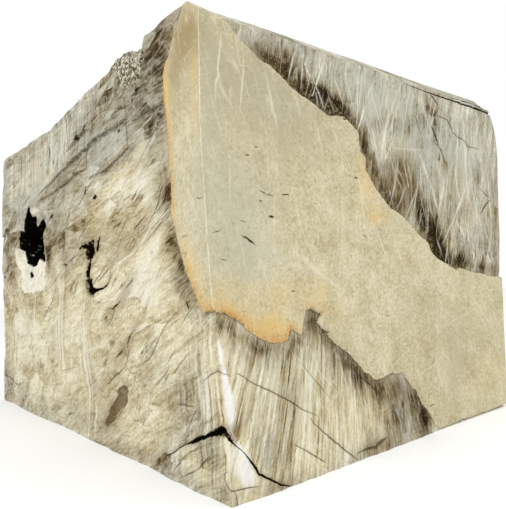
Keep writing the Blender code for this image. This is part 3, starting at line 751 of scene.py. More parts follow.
def lattice_mesh(name):
    """The lattice as a mesh in share space, with the front and left faces cut twice as fine."""
    counts = [int(round(size / CELL)) for size in (WIDTH, LENGTH, HEIGHT)]
    shares, quads = box_lattice(counts)
    mesh = bpy.data.meshes.new(name)
    mesh.from_pydata(shares, [], quads)
    cage = bmesh.new()
    cage.from_mesh(mesh)
    near = 1e-6
    fine = [edge for edge in cage.edges
            if all(v.co.x < near for v in edge.verts) or all(v.co.y < near for v in edge.verts)]
    bmesh.ops.subdivide_edges(cage, edges=fine, cuts=1, use_grid_fill=True)
    cage.to_mesh(mesh)
    cage.free()
    return mesh


skin_mesh = lattice_mesh("quartzite_stone")
print("lattice of", len(skin_mesh.vertices), "points and", len(skin_mesh.polygons), "cells")

# %% [markdown]
# The shares become homes and the homes are carved. Each point keeps its home as an attribute, because
# the paint goes by where a point belongs and not by how deep it was cut.

# %% Homes, and the carved skin
FELT = 0.10            # a face's relief is felt this far round its edges
ROUNDS = 6             # after this many rounds the homes no longer move


def read_points(mesh):
    """All vertex positions of a mesh as one array."""
    points = np.empty(len(mesh.vertices) * 3)
    mesh.vertices.foreach_get("co", points)
    return points.reshape(-1, 3)


def settle(shares):
    """Homes on the plain box: each coordinate blends two opposite planes, over and over."""
    a, b, c = shares.T
    x, y, z = a * WIDTH, b * LENGTH, c * HEIGHT
    for _ in range(ROUNDS):
        x = between(left_plane(y, z), right_plane(y, z), a)
        y = between(front_plane(x, z), back_plane(x, z), b)
    return np.stack([x, y, z], 1)


def felt(relief, u, v, inwards):
    """A face's relief, fading to nothing FELT metres in from that face."""
    weight = np.clip(1 - inwards / FELT, 0, 1)
    near = weight > 0
    result = np.zeros_like(u)
    result[near] = relief(u[near], v[near]) * weight[near]
    return result


def carved(homes):
    """Points of the stone: every home moved along X, Y and Z by the relief of the faces near it."""
    x, y, z = homes.T
    dx = felt(left_relief, y, z, x - left_plane(y, z)) + felt(right_relief, y, z, right_plane(y, z) - x)
    dy = felt(front_relief, x, z, y - front_plane(x, z)) + felt(back_relief, x, z, back_plane(x, z) - y)
    dz = felt(top_relief, x, y, HEIGHT - z)
    return homes + np.stack([dx, dy, dz], 1)


homes = settle(read_points(skin_mesh))
points = carved(homes)
home_layer = skin_mesh.attributes.new("home", "FLOAT_VECTOR", "POINT")
home_layer.data.foreach_set("vector", homes.ravel())
skin_mesh.vertices.foreach_set("co", (points + CORNER).ravel())
skin_mesh.update()
print("the skin spans", points.min(0).round(3), points.max(0).round(3))

# %% [markdown]
# The lattice is much finer than the flat stretches need. A collapse decimation takes points away where
# the skin is nearly flat and keeps them along rims, cracks and ledges, which brings the stone under
# two hundred thousand triangles with no loss that shows. Everything is clamped to the frame's box,
# so that the detailed stone doesn't grow past the model it stands in for.

# %% Fewer triangles, and the box of the frame
TRIANGLES = 190000
BOX_LOW = np.array(list(node_low))
BOX_HIGH = np.array(list(node_high))


def thin_out(mesh, triangles):
    """Collapse edges until the mesh has about this many triangles, and return the new mesh."""
    holder = bpy.data.objects.new("lattice", mesh)
    bpy.context.scene.collection.objects.link(holder)
    count = sum(len(polygon.vertices) - 2 for polygon in mesh.polygons)
    collapse = holder.modifiers.new("collapse", "DECIMATE")
    collapse.ratio = min(1.0, triangles / count)
    collapse.use_collapse_triangulate = True
    view = bpy.context.evaluated_depsgraph_get()
    thin = bpy.data.meshes.new_from_object(holder.evaluated_get(view))
    bpy.data.objects.remove(holder)
    bpy.data.meshes.remove(mesh)
    thin.name = "quartzite_stone"
    return thin


stone_mesh = thin_out(skin_mesh, TRIANGLES)
points = np.clip(read_points(stone_mesh), BOX_LOW, BOX_HIGH)
stone_mesh.vertices.foreach_set("co", points.ravel())
stone_mesh.update()
homes = np.empty(points.size)
stone_mesh.attributes["home"].data.foreach_get("vector", homes)
homes = homes.reshape(-1, 3)
print("largest move from home", round(float(np.abs(points - CORNER - homes).max()), 3))
print("stone has", len(stone_mesh.polygons), "triangles and", len(points), "points")

# %% [markdown]
# ## Unrolling the block
# A paint needs to know where it is. The UV map here is the block unrolled like a cardboard box, in
# metres: the front face lies at u = X, v = Z, and the left face folds out to the left of it at
# u = -Y, so the two meet without a seam along the near edge. Each triangle belongs to the side of the
# box that its home is nearest to. A second, three-part coordinate follows the grain: across the
# fibres, along them, and a number for the face, so that noise stretched along it runs with the rock.
# A third does the same for the upright fibres that cross it.

# %% Which face each triangle belongs to
FRONT, LEFT, RIGHT_SIDE, BACK = range(4)       # and 4 is the top, 5 the base
FACE_APART = 1.7       # so far apart, the noise on one face has nothing in common with the next


def face_of_triangles(mesh, homes):
    """Number of the face that each triangle belongs to: the side of the box that it is nearest to."""
    centres = homes[triangle_corners(mesh)].mean(1)
    x, y, z = centres.T
    gaps = np.stack([y - front_plane(x, z), x - left_plane(y, z), right_plane(y, z) - x,
                     back_plane(x, z) - y, HEIGHT - z, z], 1)
    return np.argmin(gaps, 1)


def triangle_corners(mesh):
    """Vertex numbers of every triangle, one row each."""
    corners = np.empty(len(mesh.loops), int)
    mesh.loops.foreach_get("vertex_index", corners)
    return corners.reshape(-1, 3)


def unrolled(points, face):
    """Flat map coordinates in metres: u runs right round the block, v up. Each list has one entry
    for each face, in the order of their numbers."""
    x, y, z = points.T
    u = np.choose(face, [front_u(x, z), left_u(y, z), WIDTH + y, -LENGTH - x, x, x])
    v = np.choose(face, [z, z, z, z, HEIGHT + y, -y])
    return u, v


def near_height(y, z):
    """Height at which the grain line through (y, z) meets the near edge: the grain leans 0.5 below
    0.45 m, 0.08 above 1.45 m and evenly less between, so z = h - lean(h) y is solved for h."""
    low, high = z + 0.50 * y, z + 0.08 * y
    middle = (z + 0.689 * y) / (1 + 0.42 * y)
    return np.select([low < 0.45, high > 1.45], [low, high], middle)


def grain(points, face):
    """Across the grain, along it, and a face number, all worked out face by face."""
    x, y, z = points.T
    hatch = x - 0.16 * (z - 1.1) + 3.0      # 3 m clear of the fan, so the two never look alike
    front_across = between(fan(x, np.minimum(z, 0.9)), hatch, upper_spall(x, z))
    across = np.choose(face, [front_across, near_height(y, z), z - 0.35 * y, z + 0.20 * x,
                              y + 0.30 * x, x])
    along = np.choose(face, [z, -y + 0.4 * z, y + 0.35 * z, x - 0.20 * z, x - 0.30 * y, y])
    return np.stack([across, along, FACE_APART * face], 1)


def upright(points, face):
    """Across the upright fibres, along them, and a face number. On the front they follow the grain;
    on the two sides, where the fibres are twice as coarse, both lengths are halved."""
    x, y, z = points.T
    fibres = grain(points, face)
    side = (face == LEFT) | (face == RIGHT_SIDE)
    fibres[:, 0] = np.where(side, 0.5 * y + 0.01 * z, np.where(face == BACK, x, fibres[:, 0]))
    fibres[:, 1] = np.where(side, 0.5 * z, np.where(face == BACK, z, fibres[:, 1]))
    return fibres


def paint(name, values, kind="FLOAT"):
    """Store a number, or a vector, per triangle corner under a name that the material can read."""
    layer = stone_mesh.attributes.new(name, kind, "CORNER")
    layer.data.foreach_set("value" if kind == "FLOAT" else "vector", np.ravel(values).astype(np.float32))
    return values


corners = triangle_corners(stone_mesh)
face = face_of_triangles(stone_mesh, homes)
corner_face = np.repeat(face, 3)
corner_points = homes[corners.ravel()]
map_u, map_v = unrolled(corner_points, corner_face)
net = stone_mesh.uv_layers.new(name="unrolled")
net.uv.foreach_set("vector", np.stack([map_u, map_v], 1).ravel())
paint("grain", grain(corner_points, corner_face), "FLOAT_VECTOR")
paint("upright", upright(corner_points, corner_face), "FLOAT_VECTOR")
print("triangles on each face", np.bincount(face, minlength=6))

# %% [markdown]
# ## What the weather painted
# Some colours belong to places: ochre where iron-rich water ran along the rind, and cool grey bands
# under the top edge, where lichen and soot have dulled the stone. Each is a soft stain, an ellipse of
# (u, v, half width, half height, tilt in degrees, amount) on the unrolled block. The shader later
# breaks them up with noise, so nobody sees an ellipse.

# %% Ochre and cool stains
def placed(rows):
    """Rows whose first four numbers are millimetres, with those in metres and the rest as it is."""
    return [metres(row[:4]) + row[4:] for row in rows]


OCHRE = placed([
    (820, 955, 75, 30, 0, 1), (760, 1080, 60, 130, 10, 0.5), (130, 555, 170, 45, -20, 0.9),
    (340, 640, 180, 55, 0, 0.6), (20, 650, 100, 60, 0, 0.6), (240, 530, 80, 50, -20, 0.8),
    (540, 560, 100, 50, -30, 0.3), (-212, 1120, 30, 230, 0, 1.05), (-215, 1335, 34, 130, 0, 1.35),
    (-30, 1400, 22, 110, 0, 0.7), (-110, 1270, 40, 100, 0, 0.2), (-100, 740, 35, 120, 22, 0.8),
    (-30, 1240, 20, 60, 0, 0.4), (1000, 780, 100, 50, -20, 0.2), (1650, 200, 300, 120, 0, 0.25)])
COOL = placed([
    (130, 930, 140, 200, 0, 0.8), (1150, 1340, 550, 200, -20, 0.6), (-330, 1200, 150, 320, 10, 0.9),
    (-700, 1360, 400, 130, 8, 0.8), (250, 1350, 280, 150, -20, 0.75), (150, 760, 120, 80, 0, 0.6),
    (1050, 600, 250, 150, 0, 0.15), (-60, 980, 60, 200, 0, 0.5), (1350, 300, 150, 200, 0, 0.35),
    (30, 1200, 60, 400, 0, 0.5), (-1500, 1430, 550, 90, 6, 1), (-1900, 1250, 250, 80, 6, 0.8),
    (-450, 1480, 200, 80, 0, 0.2), (1450, 1350, 450, 250, 0, 0.6), (900, 1460, 400, 120, -10, 0.6),
    (250, 280, 130, 130, 0, 0.5)])
print("ochre and cool stains", len(OCHRE), len(COOL))

# %% [markdown]
# The shade stains darken the rock beside the rind, in the hollows and under the ledges: partly dark
# stain, partly painted shade where the rock is recessed or overhung. They are heaviest along the
# rind's broken edge, so they follow that edge closely: the upper spall of the front first, then the
# lower spall, then the left face.

# %% Shade
UPPER_SHADE = placed([
    (210, 1530, 50, 22, -35, 0.6), (260, 1505, 50, 30, -35, 0.8), (310, 1475, 50, 35, -35, 0.95),
    (360, 1445, 50, 35, -30, 1), (440, 1405, 60, 35, -20, 1.45), (350, 1510, 60, 50, -40, 0.4),
    (403, 1468, 45, 90, 15, 0.6), (470, 1455, 60, 50, -30, 0.5), (530, 1400, 80, 50, -20, 1.4),
    (590, 1385, 80, 50, -20, 1.6), (671, 1350, 70, 60, -20, 1.3), (330, 1520, 50, 50, -30, 0.6),
    (740, 1300, 50, 60, 0, 0.7), (860, 1349, 50, 50, 0, 0.3), (780, 1230, 50, 90, 0, 0.8),
    (830, 1130, 60, 80, -20, 0.7), (900, 1060, 70, 70, -30, 0.7), (990, 990, 60, 50, -30, 0.7),
    (1040, 1140, 90, 110, -10, 0.8), (1140, 1020, 60, 110, 10, 0.8), (1200, 930, 60, 90, 0, 1.1),
    (1279, 862, 70, 70, -30, 1), (1320, 790, 120, 45, -20, 0.95), (1450, 760, 100, 50, -6, 0.8),
    (1620, 735, 280, 30, -6, 0.8), (1290, 1500, 30, 70, 25, 0.75), (1330, 1440, 30, 80, 0, 0.7),
    (1320, 1330, 30, 100, 0, 0.7), (1384, 1233, 35, 60, 20, 0.6), (1420, 1120, 40, 80, 0, 0.35),
    (1760, 1400, 30, 80, 0, 0.35), (1780, 950, 50, 140, -10, 0.25), (1000, 1370, 90, 70, 0, 0.3),
    (1350, 1200, 450, 300, 0, 0.3), (1000, 1420, 300, 100, -10, 0.3)])
LOWER_SHADE = placed([
    (480, 490, 60, 60, 0, 0.9), (400, 530, 35, 40, 0, 0.8), (330, 470, 60, 30, 0, 0.7),
    (560, 400, 80, 35, -40, 0.9), (650, 310, 110, 50, -40, 0.9), (780, 240, 90, 60, -20, 0.65),
    (900, 220, 90, 70, -20, 0.65), (1000, 150, 60, 70, -40, 0.75), (1080, 70, 50, 70, -35, 0.9),
    (860, 110, 60, 60, 0, 0.5), (100, 500, 90, 30, -30, 0.8), (30, 555, 40, 30, 0, 0.8),
    (200, 455, 90, 25, -10, 0.6), (110, 430, 30, 30, 0, 0.55), (740, 20, 120, 30, 0, 0.6),
    (620, 130, 30, 80, 0, 0.35), (350, 280, 250, 180, 0, 0.18)])
LEFT_SHADE = placed([
    (-330, 1560, 160, 80, 0, 0.4), (-600, 1500, 300, 60, -6, 0.6), (-900, 1420, 200, 50, -8, 0.6),
    (-280, 1440, 50, 100, 0, 0.3), (-450, 1280, 200, 120, 10, 0.5), (-300, 1080, 80, 140, 0, 0.35),
    (-420, 1450, 180, 120, 0, 0.45), (-230, 800, 60, 100, 30, 0.7), (-160, 680, 60, 60, 40, 0.8),
    (-240, 330, 60, 60, 0, 0.45), (-350, 280, 60, 50, 0, 0.55), (-1250, 1270, 400, 45, 6, 0.55),
    (-960, 1120, 60, 50, 0, 0.45), (-170, 110, 110, 60, -20, 0.3), (-1820, 1410, 80, 120, 0, 0.2),
    (-60, 130, 60, 50, 0, 0.15), (-800, 980, 300, 80, 10, 0.45), (-330, 1200, 150, 300, 10, 0.25),
    (-290, 1000, 70, 200, 0, 0.5), (-2250, 900, 150, 200, 0, 0.45), (-1560, 900, 60, 100, 0, 0.7),
    (-1400, 1000, 200, 120, 0, 0.45), (-1850, 620, 250, 60, 0, 0.45), (-1250, 780, 100, 80, 0, 0.4),
    (-520, 1580, 120, 40, 0, 0.4)])
SHADE = UPPER_SHADE + LOWER_SHADE + LEFT_SHADE
print("shade stains", len(SHADE))

# %% [markdown]
# Brown lies where iron clay was left in old hollows, cream where the quartz is clean and freshly
# broken. `FIBROUS` says in the same way where the upright fibres show most.

# %% Brown, cream and fibres
BROWN = placed([
    (-590, 720, 80, 30, 35, 0.65), (-680, 640, 120, 35, 33, 0.8), (-640, 470, 110, 30, 45, 1),
    (-800, 590, 90, 30, 30, 0.5), (-740, 410, 110, 30, 33, 0.95), (-820, 190, 120, 45, 52, 0.9),
    (-940, 100, 60, 40, 30, 0.7), (-680, 860, 200, 60, 10, 0.65), (-1050, 900, 300, 70, 12, 0.6),
    (-790, 760, 30, 50, 0, 0.9), (-1000, 350, 200, 120, 33, 0.3), (-530, 560, 90, 30, 40, 0.3),
    (10, 228, 24, 24, 0, 3), (-500, 40, 250, 30, 0, 0.5), (1030, 1140, 100, 110, -20, 1.2),
    (150, 15, 120, 20, -10, 0.8), (-2380, 850, 60, 60, 0, 0.5), (-1450, 450, 250, 90, 33, 0.3),
    (20, 105, 22, 40, 10, 0.9), (-920, 190, 100, 160, 40, 0.45), (240, 20, 60, 20, 0, 0.8),
    (-1150, 100, 200, 60, 20, 0.4), (-980, 900, 60, 50, 0, 0.9), (-1020, 700, 50, 50, 0, 0.8),
    (-90, 1510, 100, 80, 0, 1.5), (-170, 1400, 50, 60, 0, 0.9), (-250, 1250, 20, 150, 0, 0.6),
    (150, 1370, 280, 170, -20, 0.95), (450, 1200, 250, 200, 0, 0.2), (-30, 1500, 30, 100, 0, 0.4),
    (1500, 350, 400, 150, 0, 0.3)])
CREAM = placed([
    (-520, 1100, 300, 110, 12, 1.1), (-800, 1050, 180, 80, 12, 0.6), (-500, 700, 200, 120, 30, 0.8),
    (-400, 870, 140, 60, 25, 0.6), (-900, 550, 500, 350, 30, 0.75), (-1600, 450, 500, 350, 0, 0.85),
    (-2150, 450, 300, 300, 0, 0.8), (-560, 170, 200, 120, 30, 0.9), (-250, 480, 120, 140, 0, 0.6),
    (-20, 400, 85, 150, 0, 0.75), (35, 120, 60, 50, -40, 1.6), (80, 50, 40, 40, 0, 1.1),
    (2, 172, 40, 30, 0, 1.3), (-180, 80, 140, 60, -20, 0.45), (250, 300, 220, 130, -10, 0.55),
    (430, 200, 220, 140, -20, 0.5), (330, 80, 220, 80, 0, 0.45), (620, 140, 150, 100, -20, 0.4),
    (1000, 1290, 140, 50, 5, 0.45), (980, 1450, 200, 70, 0, 0.5), (1480, 1200, 200, 250, 0, 0.25),
    (-1700, 1420, 500, 110, 8, 0.45), (-600, 1050, 200, 80, 10, 0.1), (-380, 640, 120, 160, 20, 0.4)])
FIBROUS = placed([
    (350, 250, 400, 260, -10, 1.2), (1300, 1250, 600, 400, 0, 0.25), (600, 1500, 400, 120, -10, 0.3),
    (-1550, 1440, 750, 190, 6, 1.2), (-80, 330, 120, 220, 0, 1.1), (-1420, 520, 90, 300, 0, 1.1),
    (-1070, 350, 80, 350, 0, 1.1), (-2250, 300, 200, 200, 0, 0.9), (-240, 300, 100, 60, 0, 1),
    (-250, 60, 300, 80, 0, 0.3), (-1800, 500, 60, 300, 0, 0.7)])
print("brown and cream stains", len(BROWN), len(CREAM), "and patches of fibres", len(FIBROUS))

# %% [markdown]
# The far side, the back and the top have no stains with a place of their own. A few wide seeded ones
# keep them from looking plain, drawn in the boxes of `FAR_SIDES`: the low and the high corner of each
# of those faces on the map. Then every kind is summed for every corner of the mesh and stored.

# %% Painting the stains
FAR_SIDES = (((2.25, 0.10), (4.20, 1.50)), ((-4.20, 0.10), (-2.80, 1.50)), ((0.15, 1.95), (1.75, 3.90)))


def far_stains(seed, count, most):
    """Seeded wide stains, `count` each on the far side, the back and the top."""
    dice = np.random.default_rng(seed)
    low = (0.16, 0.07, -30, 0.4 * most)
    high = (0.42, 0.20, 30, most)
    return [(*place, *dice.uniform(low, high)) for box in FAR_SIDES
            for place in dice.uniform(*box, (count, 2))]


for name, rows in (("ochre", OCHRE), ("cool", COOL + far_stains(21, 5, 1.1)),
                   ("shade", SHADE + far_stains(22, 5, 0.8)), ("brown", BROWN + far_stains(23, 5, 0.8)),
                   ("cream", CREAM + far_stains(24, 7, 1.0)), ("fibrous", FIBROUS)):
    values = paint(name, patches(map_u, map_v, rows))
    print(name, "covers", round(float((values > 0.3).mean()), 3), "of the stone")

# %% [markdown]
# ## Lines with a place
# Cracks and veins are thinner than the mesh is fine, so they can't be coloured point by point. What
# each corner stores is how far it lies to one side of the nearest line, with a sign. That number
# changes evenly across a triangle, so the place where it passes zero, and a line of any thinness
# round it, comes out sharp. A second number fades the line out 12 mm past its ends and 30 mm from its
# edge.
#
# Most pale veins are quartz that filled old splits. A few run along the rims of the two front spalls,
# of the broken step and of a scar on the left face: there the pale line is a painted highlight on the
# lit edge. Each is a straight stroke on the unrolled block: (u, v) of both ends, width in millimetres
# and strength.

# %% Pale veins and painted rim highlights
# the strokes along the rims of the front spalls, the broken step and a scar are painted highlights
VEINS = placed([
    (742, 1300, 810, 1440, 12, 1), (810, 1440, 850, 1530, 10, 0.7), (742, 1310, 752, 1510, 9, 0.7),
    (872, 1180, 836, 1330, 10, 0.8), (885, 1190, 962, 1430, 12, 0.9), (915, 1200, 985, 1310, 10, 0.7),
    (960, 1320, 1002, 1430, 12, 0.8), (960, 1262, 1200, 1285, 10, 0.35),
    (1180, 1270, 1250, 1120, 12, 0.8), (1170, 1080, 1185, 1230, 10, 0.5),
    (1250, 1130, 1290, 990, 12, 0.7), (1290, 990, 1370, 1150, 14, 0.9), (1430, 970, 1560, 1140, 14, 0.9),
    (1435, 980, 1330, 850, 12, 0.6), (1430, 980, 1540, 860, 10, 0.7), (1620, 820, 1530, 890, 10, 0.6),
    (1575, 1080, 1565, 1480, 16, 0.7), (1790, 880, 1800, 1300, 12, 0.5), (1700, 950, 1730, 1330, 12, 0.4),
    (1480, 1200, 1520, 1460, 12, 0.5), (365, 1450, 400, 1560, 8, 0.9), (430, 1420, 445, 1570, 8, 0.6),
    (445, 1530, 495, 1450, 8, 0.9), (560, 1570, 490, 1400, 9, 0.9), (620, 1500, 660, 1400, 9, 0.5),
    (1010, 1180, 930, 1000, 9, 0.6), (1050, 1100, 960, 960, 8, 0.5), (1130, 1090, 1040, 950, 8, 0.5),
    (1640, 1560, 1650, 1300, 12, 0.4), (150, 1540, 170, 1590, 8, 0.6), (320, 425, 395, 282, 6, 0.8),
    (395, 282, 432, 205, 5, 0.6), (378, 404, 553, 227, 5, 0.5), (45, 364, 106, 478, 5, 0.5),
    (-1432, 200, -1430, 820, 16, 1), (-1385, 350, -1382, 800, 12, 0.9), (-1115, 30, -1060, 680, 12, 0.9),
    (-1075, 100, -1030, 620, 9, 0.9), (-1800, 300, -1800, 700, 12, 0.6),
    (-2101, 244, -1405, 580, 12, 0.7), (-2330, 150, -2330, 420, 24, 0.6),
    (-2240, 160, -2240, 430, 18, 0.5), (-765, 768, -560, 846, 10, 0.9), (-560, 846, -422, 929, 9, 1),
    (-422, 929, -307, 962, 8, 1), (-307, 962, -240, 972, 7, 0.7), (-325, 262, -195, 266, 6, 0.4),
    (-780, 1235, -560, 1290, 7, 0.4), (-560, 1290, -300, 1350, 6, 0.45), (-500, 1130, -330, 1200, 7, 0.6),
    (-780, 1100, -560, 1150, 7, 0.5), (-160, 460, -150, 330, 8, 0.5), (-90, 500, -85, 300, 7, 0.6),
    (-560, 300, -470, 80, 8, 0.5), (-200, 640, -170, 540, 6, 0.7)])
print("pale veins", len(VEINS), "up to", max(row[4] for row in VEINS), "mm wide")

# %% [markdown]
# Dark seams are splits that have opened a little and hold dirt and shadow. They are strokes too.

# %% Dark seams
SEAMS = placed([
    (-343, 28, -247, 106, 7, 0.5), (-247, 106, -167, 148, 6, 0.5), (-87, 167, -109, 131, 6, 0.5),
    (-109, 131, -190, 69, 7, 0.5), (-190, 69, -289, 23, 6, 0.5), (-200, 275, -317, 270, 8, 0.4),
    (-200, 275, -186, 396, 6, 0.4), (1290, 1590, 1375, 1510, 14, 0.5), (1365, 1530, 1300, 1410, 14, 0.4),
    (1290, 1420, 1345, 1330, 18, 0.6), (1690, 1010, 1800, 1090, 7, 0.9), (1800, 1100, 1700, 1140, 5, 0.6),
    (330, 400, 480, 250, 7, 0.3), (-950, 1440, -990, 1432, 24, 0.8), (-1040, 1420, -1090, 1410, 26, 0.7),
    (-890, 1108, -930, 1104, 20, 0.9), (-990, 1160, -1010, 1130, 20, 0.8),
    (-640, 1340, -664, 1345, 20, 0.7), (-340, 1330, -310, 1318, 18, 0.6), (-780, 600, -690, 640, 10, 0.7),
    (-640, 690, -570, 730, 10, 0.6), (-660, 450, -590, 530, 10, 0.6), (-790, 390, -680, 450, 10, 0.6),
    (-850, 560, -820, 575, 14, 0.6), (-560, 420, -530, 450, 10, 0.5), (-320, 840, -260, 865, 12, 0.6),
    (-900, 270, -700, 370, 9, 0.5), (-160, 640, -165, 600, 8, 0.8), (-1530, 1500, -1535, 1390, 14, 0.6),
    (-1440, 1400, -1445, 1370, 22, 0.6), (-1230, 1050, -1180, 1075, 20, 0.6),
    (-1560, 1100, -1500, 1110, 24, 0.8), (-2360, 1090, -2450, 1060, 24, 0.8),
    (-2420, 820, -2460, 815, 24, 0.7), (-1350, 830, -1300, 828, 16, 0.8),
    (-1405, 290, -1190, 328, 6, 0.3), (-1300, 830, -1090, 870, 8, 0.6), (-600, 930, -480, 980, 10, 0.5),
    (-1540, 930, -1200, 1010, 8, 0.5), (630, 330, 760, 225, 8, 0.5), (830, 180, 880, 80, 10, 0.5)])
print("dark seams", len(SEAMS), "up to", max(row[4] for row in SEAMS), "mm wide")

# %% [markdown]
# Strokes and modelled cracks become the same kind of path, and one function measures every corner
# against them. It looks only at the triangles whose corners lie near a path, so it stays quick.

# %% Distance from a line
TAPER = 0.25                # a stroke's ends are this share of the width of its middle
NEAR, FAR = 0.015, 0.030    # a line is at its full strength this near, and gone this far, from its edge
PAST = 0.012                # and gone this far past its ends
NOWHERE = 9.0               # a distance that is beyond every line


def strokes_as_paths(rows):
    """(u, v, u, v, width in mm, strength) strokes as three-point paths, widest in the middle."""
    paths = []
    for u0, v0, u1, v1, width_mm, strength in rows:
        width = width_mm / 1000
        paths.append((strength, [(u0, v0, TAPER * width), ((u0 + u1) / 2, (v0 + v1) / 2, width),
                                 (u1, v1, TAPER * width)]))
    return paths


def traced(u, v, paths):
    """Signed distance across the nearest path in half widths, and its strength faded by distance:
    1 within NEAR of the path's edge, 0 from FAR on, and 0 from PAST its ends. All three corners of a
    triangle take the same path, so no false line appears between two neighbouring ones."""
    u, v = u.reshape(-1, 3), v.reshape(-1, 3)
    nearest, side, near = np.full(len(u), NOWHERE), np.full(u.shape, NOWHERE), np.zeros(u.shape)
    for strength, path in paths:
        rows = np.array([point[:3] for point in path])
        reach = FAR + 0.5 * rows[:, 2].max()
        low, high = rows[:, :2].min(axis=0) - reach, rows[:, :2].max(axis=0) + reach
        close = (u > low[0]) & (u < high[0]) & (v > low[1]) & (v < high[1])
        close = np.nonzero(close.any(axis=1))[0]
        least, across, fade = np.full((len(close), 3), NOWHERE), np.zeros((len(close), 3)), 0.0
        for number, (start, end) in enumerate(zip(rows, rows[1:])):
            way = end - start
            length = np.hypot(way[0], way[1])
            out_u, out_v = u[close] - start[0], v[close] - start[1]
            along = (out_u * way[0] + out_v * way[1]) / length ** 2
            t = np.clip(along, 0, 1)
            away = np.hypot(out_u - t * way[0], out_v - t * way[1])
            half = 0.5 * (start[2] + way[2] * t)
            gap = away - half
            past = np.maximum(-along * (number == 0), (along - 1) * (number == len(rows) - 2)) * length
            faded = strength * ramp(FAR - gap, 0, FAR - NEAR) * ramp(PAST - past, 0, PAST)
            signed = np.sign(out_u * way[1] - out_v * way[0]) * away / half
            closer = gap < least
            least = np.where(closer, gap, least)
            across = np.where(closer, signed, across)
            fade = np.where(closer, faded, fade)
        wins = least.mean(axis=1) < nearest[close]
        nearest[close[wins]] = least.mean(axis=1)[wins]
        side[close[wins]], near[close[wins]] = across[wins], fade[wins]
    return np.clip(side.ravel(), -NOWHERE, NOWHERE), near.ravel()


sample_side, sample_near = traced(np.full(3, 0.776), np.full(3, 1.370), strokes_as_paths(VEINS[:1]))
print("on the first vein", sample_side.round(2)[0], "half widths off, strength", sample_near.round(2)[0])

# %% [markdown]
# Most splits are too many and too small to place one by one. They come as seeded strokes instead, a
# set for each patch of rock and each direction in which it splits: the network of pale veins in the
# upper spall, dark splits along the grain of the left face, dark with dirt and painted shadow, with a
# painted highlight 9 mm under every second one for its lit lip, and the same two kinds on the far
# sides. Strokes on the rind are dropped, as it has none.

# %% Scattered strokes
def scattered(count, seed, low, high, lean, length, width_mm, strength):
    """Seeded strokes: a place in a box, a lean from upright in degrees, a length, a width, a
    strength, each drawn evenly between its two limits."""
    dice = np.random.default_rng(seed)
    place = dice.uniform(low, high, (count, 2))
    angle = np.radians(dice.uniform(lean[0], lean[1], count))
    half = 0.5 * dice.uniform(length[0], length[1], count)
    way = np.stack([np.sin(angle) * half, np.cos(angle) * half], 1)
    widths, strengths = dice.uniform(*width_mm, count), dice.uniform(*strength, count)
    return [(*start, *end, width, power) for start, end, width, power
            in zip(place - way, place + way, widths, strengths)]


def off_rind(rows):
    """The strokes whose middle is in bare rock, 20 mm or more from the rind."""
    middle = np.array([[(row[0] + row[2]) / 2, (row[1] + row[3]) / 2] for row in rows])
    front, left = front_rind(middle[:, 0], middle[:, 1]), left_rind(-middle[:, 0], middle[:, 1])
    bare = np.where(middle[:, 0] > 0, front, left) < -0.02
    return [row for row, keep in zip(rows, bare) if keep]


STOCKWORK = (scattered(60, 5, (0.45, 0.75), (1.80, 1.50), (8, 30), (0.10, 0.30), (4, 8), (0.35, 0.9))
             + scattered(60, 6, (0.45, 0.75), (1.80, 1.50), (-30, -6), (0.08, 0.26), (4, 8), (0.3, 0.8)))
# dark clefts: dirt and painted shadow in the splits of the left face
CLEFTS = (scattered(70, 7, (-2.35, 0.60), (-0.30, 1.30), (46, 64), (0.06, 0.26), (3, 7), (0.25, 0.7))
          + scattered(44, 8, (-1.00, 0.10), (-0.15, 0.90), (34, 58), (0.04, 0.18), (3, 7), (0.15, 0.55))
          + scattered(40, 9, (-1.60, 1.35), (-0.30, 1.62), (40, 70), (0.05, 0.16), (3, 6), (0.25, 0.6)))
FAR_CLEFTS = [row for number, lean in enumerate(((62, 78), (70, 86), (98, 114)))
              for row in scattered(70, 31 + number, *FAR_SIDES[number], lean, (0.08, 0.50), (3, 9),
                                   (0.3, 0.8))]
FAR_VEINS = [row for number, box in enumerate(FAR_SIDES)
             for row in scattered(40, 41 + number, *box, (-50, 50), (0.10, 0.50), (4, 9), (0.3, 0.9))]
# painted highlights: a pale line 9 mm under every second cleft, on its lit lip
CLEFT_HIGHLIGHTS = [(u0, v0 - 0.009, u1, v1 - 0.009, 5, 0.6 * strength)
                for u0, v0, u1, v1, width, strength in CLEFTS[::2]]
print("scattered strokes", len(STOCKWORK + CLEFTS + FAR_CLEFTS + FAR_VEINS + CLEFT_HIGHLIGHTS))

# %% [markdown]
# The modelled cracks are dark lines too, the deep ones at full strength and the rest fainter, and each
# ledge has a line of shadow under it that is wider where the ledge is higher.

# %% Painting the lines
crack_paths = ([(1.0, CORNER_CRACK), (1.0, SILL_HOLE)] + [(1.0, path) for path in LEFT_CRACKS[:3]]
               + [(0.40, path) for path in LEFT_CRACKS[3:]] + [(0.50, path) for path in FRONT_CRACKS[:-1]]
               + [(0.90, FRONT_CRACKS[-1])]
               + [(0.40, [(u, v, 0.001 + 0.25 * step) for u, v, step in rows]) for rows in BEDS])
dark_strokes = SEAMS + off_rind(CLEFTS + FAR_CLEFTS)
pale_strokes = VEINS + off_rind(STOCKWORK + CLEFT_HIGHLIGHTS + FAR_VEINS)
for name, paths in (("crack", crack_paths + strokes_as_paths(dark_strokes)),
                    ("vein", strokes_as_paths(pale_strokes))):
    side, near = traced(map_u, map_v, paths)
    paint(name + "_side", side)
    paint(name + "_near", near)
    print(name, "lines", len(paths), "touch", int((near > 0).sum()), "corners")

# %% [markdown]
# The rind, the sill, the vug, the granular patch and the oval pit are painted from their signed
# distances, for the same reason: a distance changes evenly across a triangle, and the place where it
# passes zero stays sharp.

# %% Distances into the outlines
OUTSIDE = -0.3         # the distance stored where a face has nothing of an outline


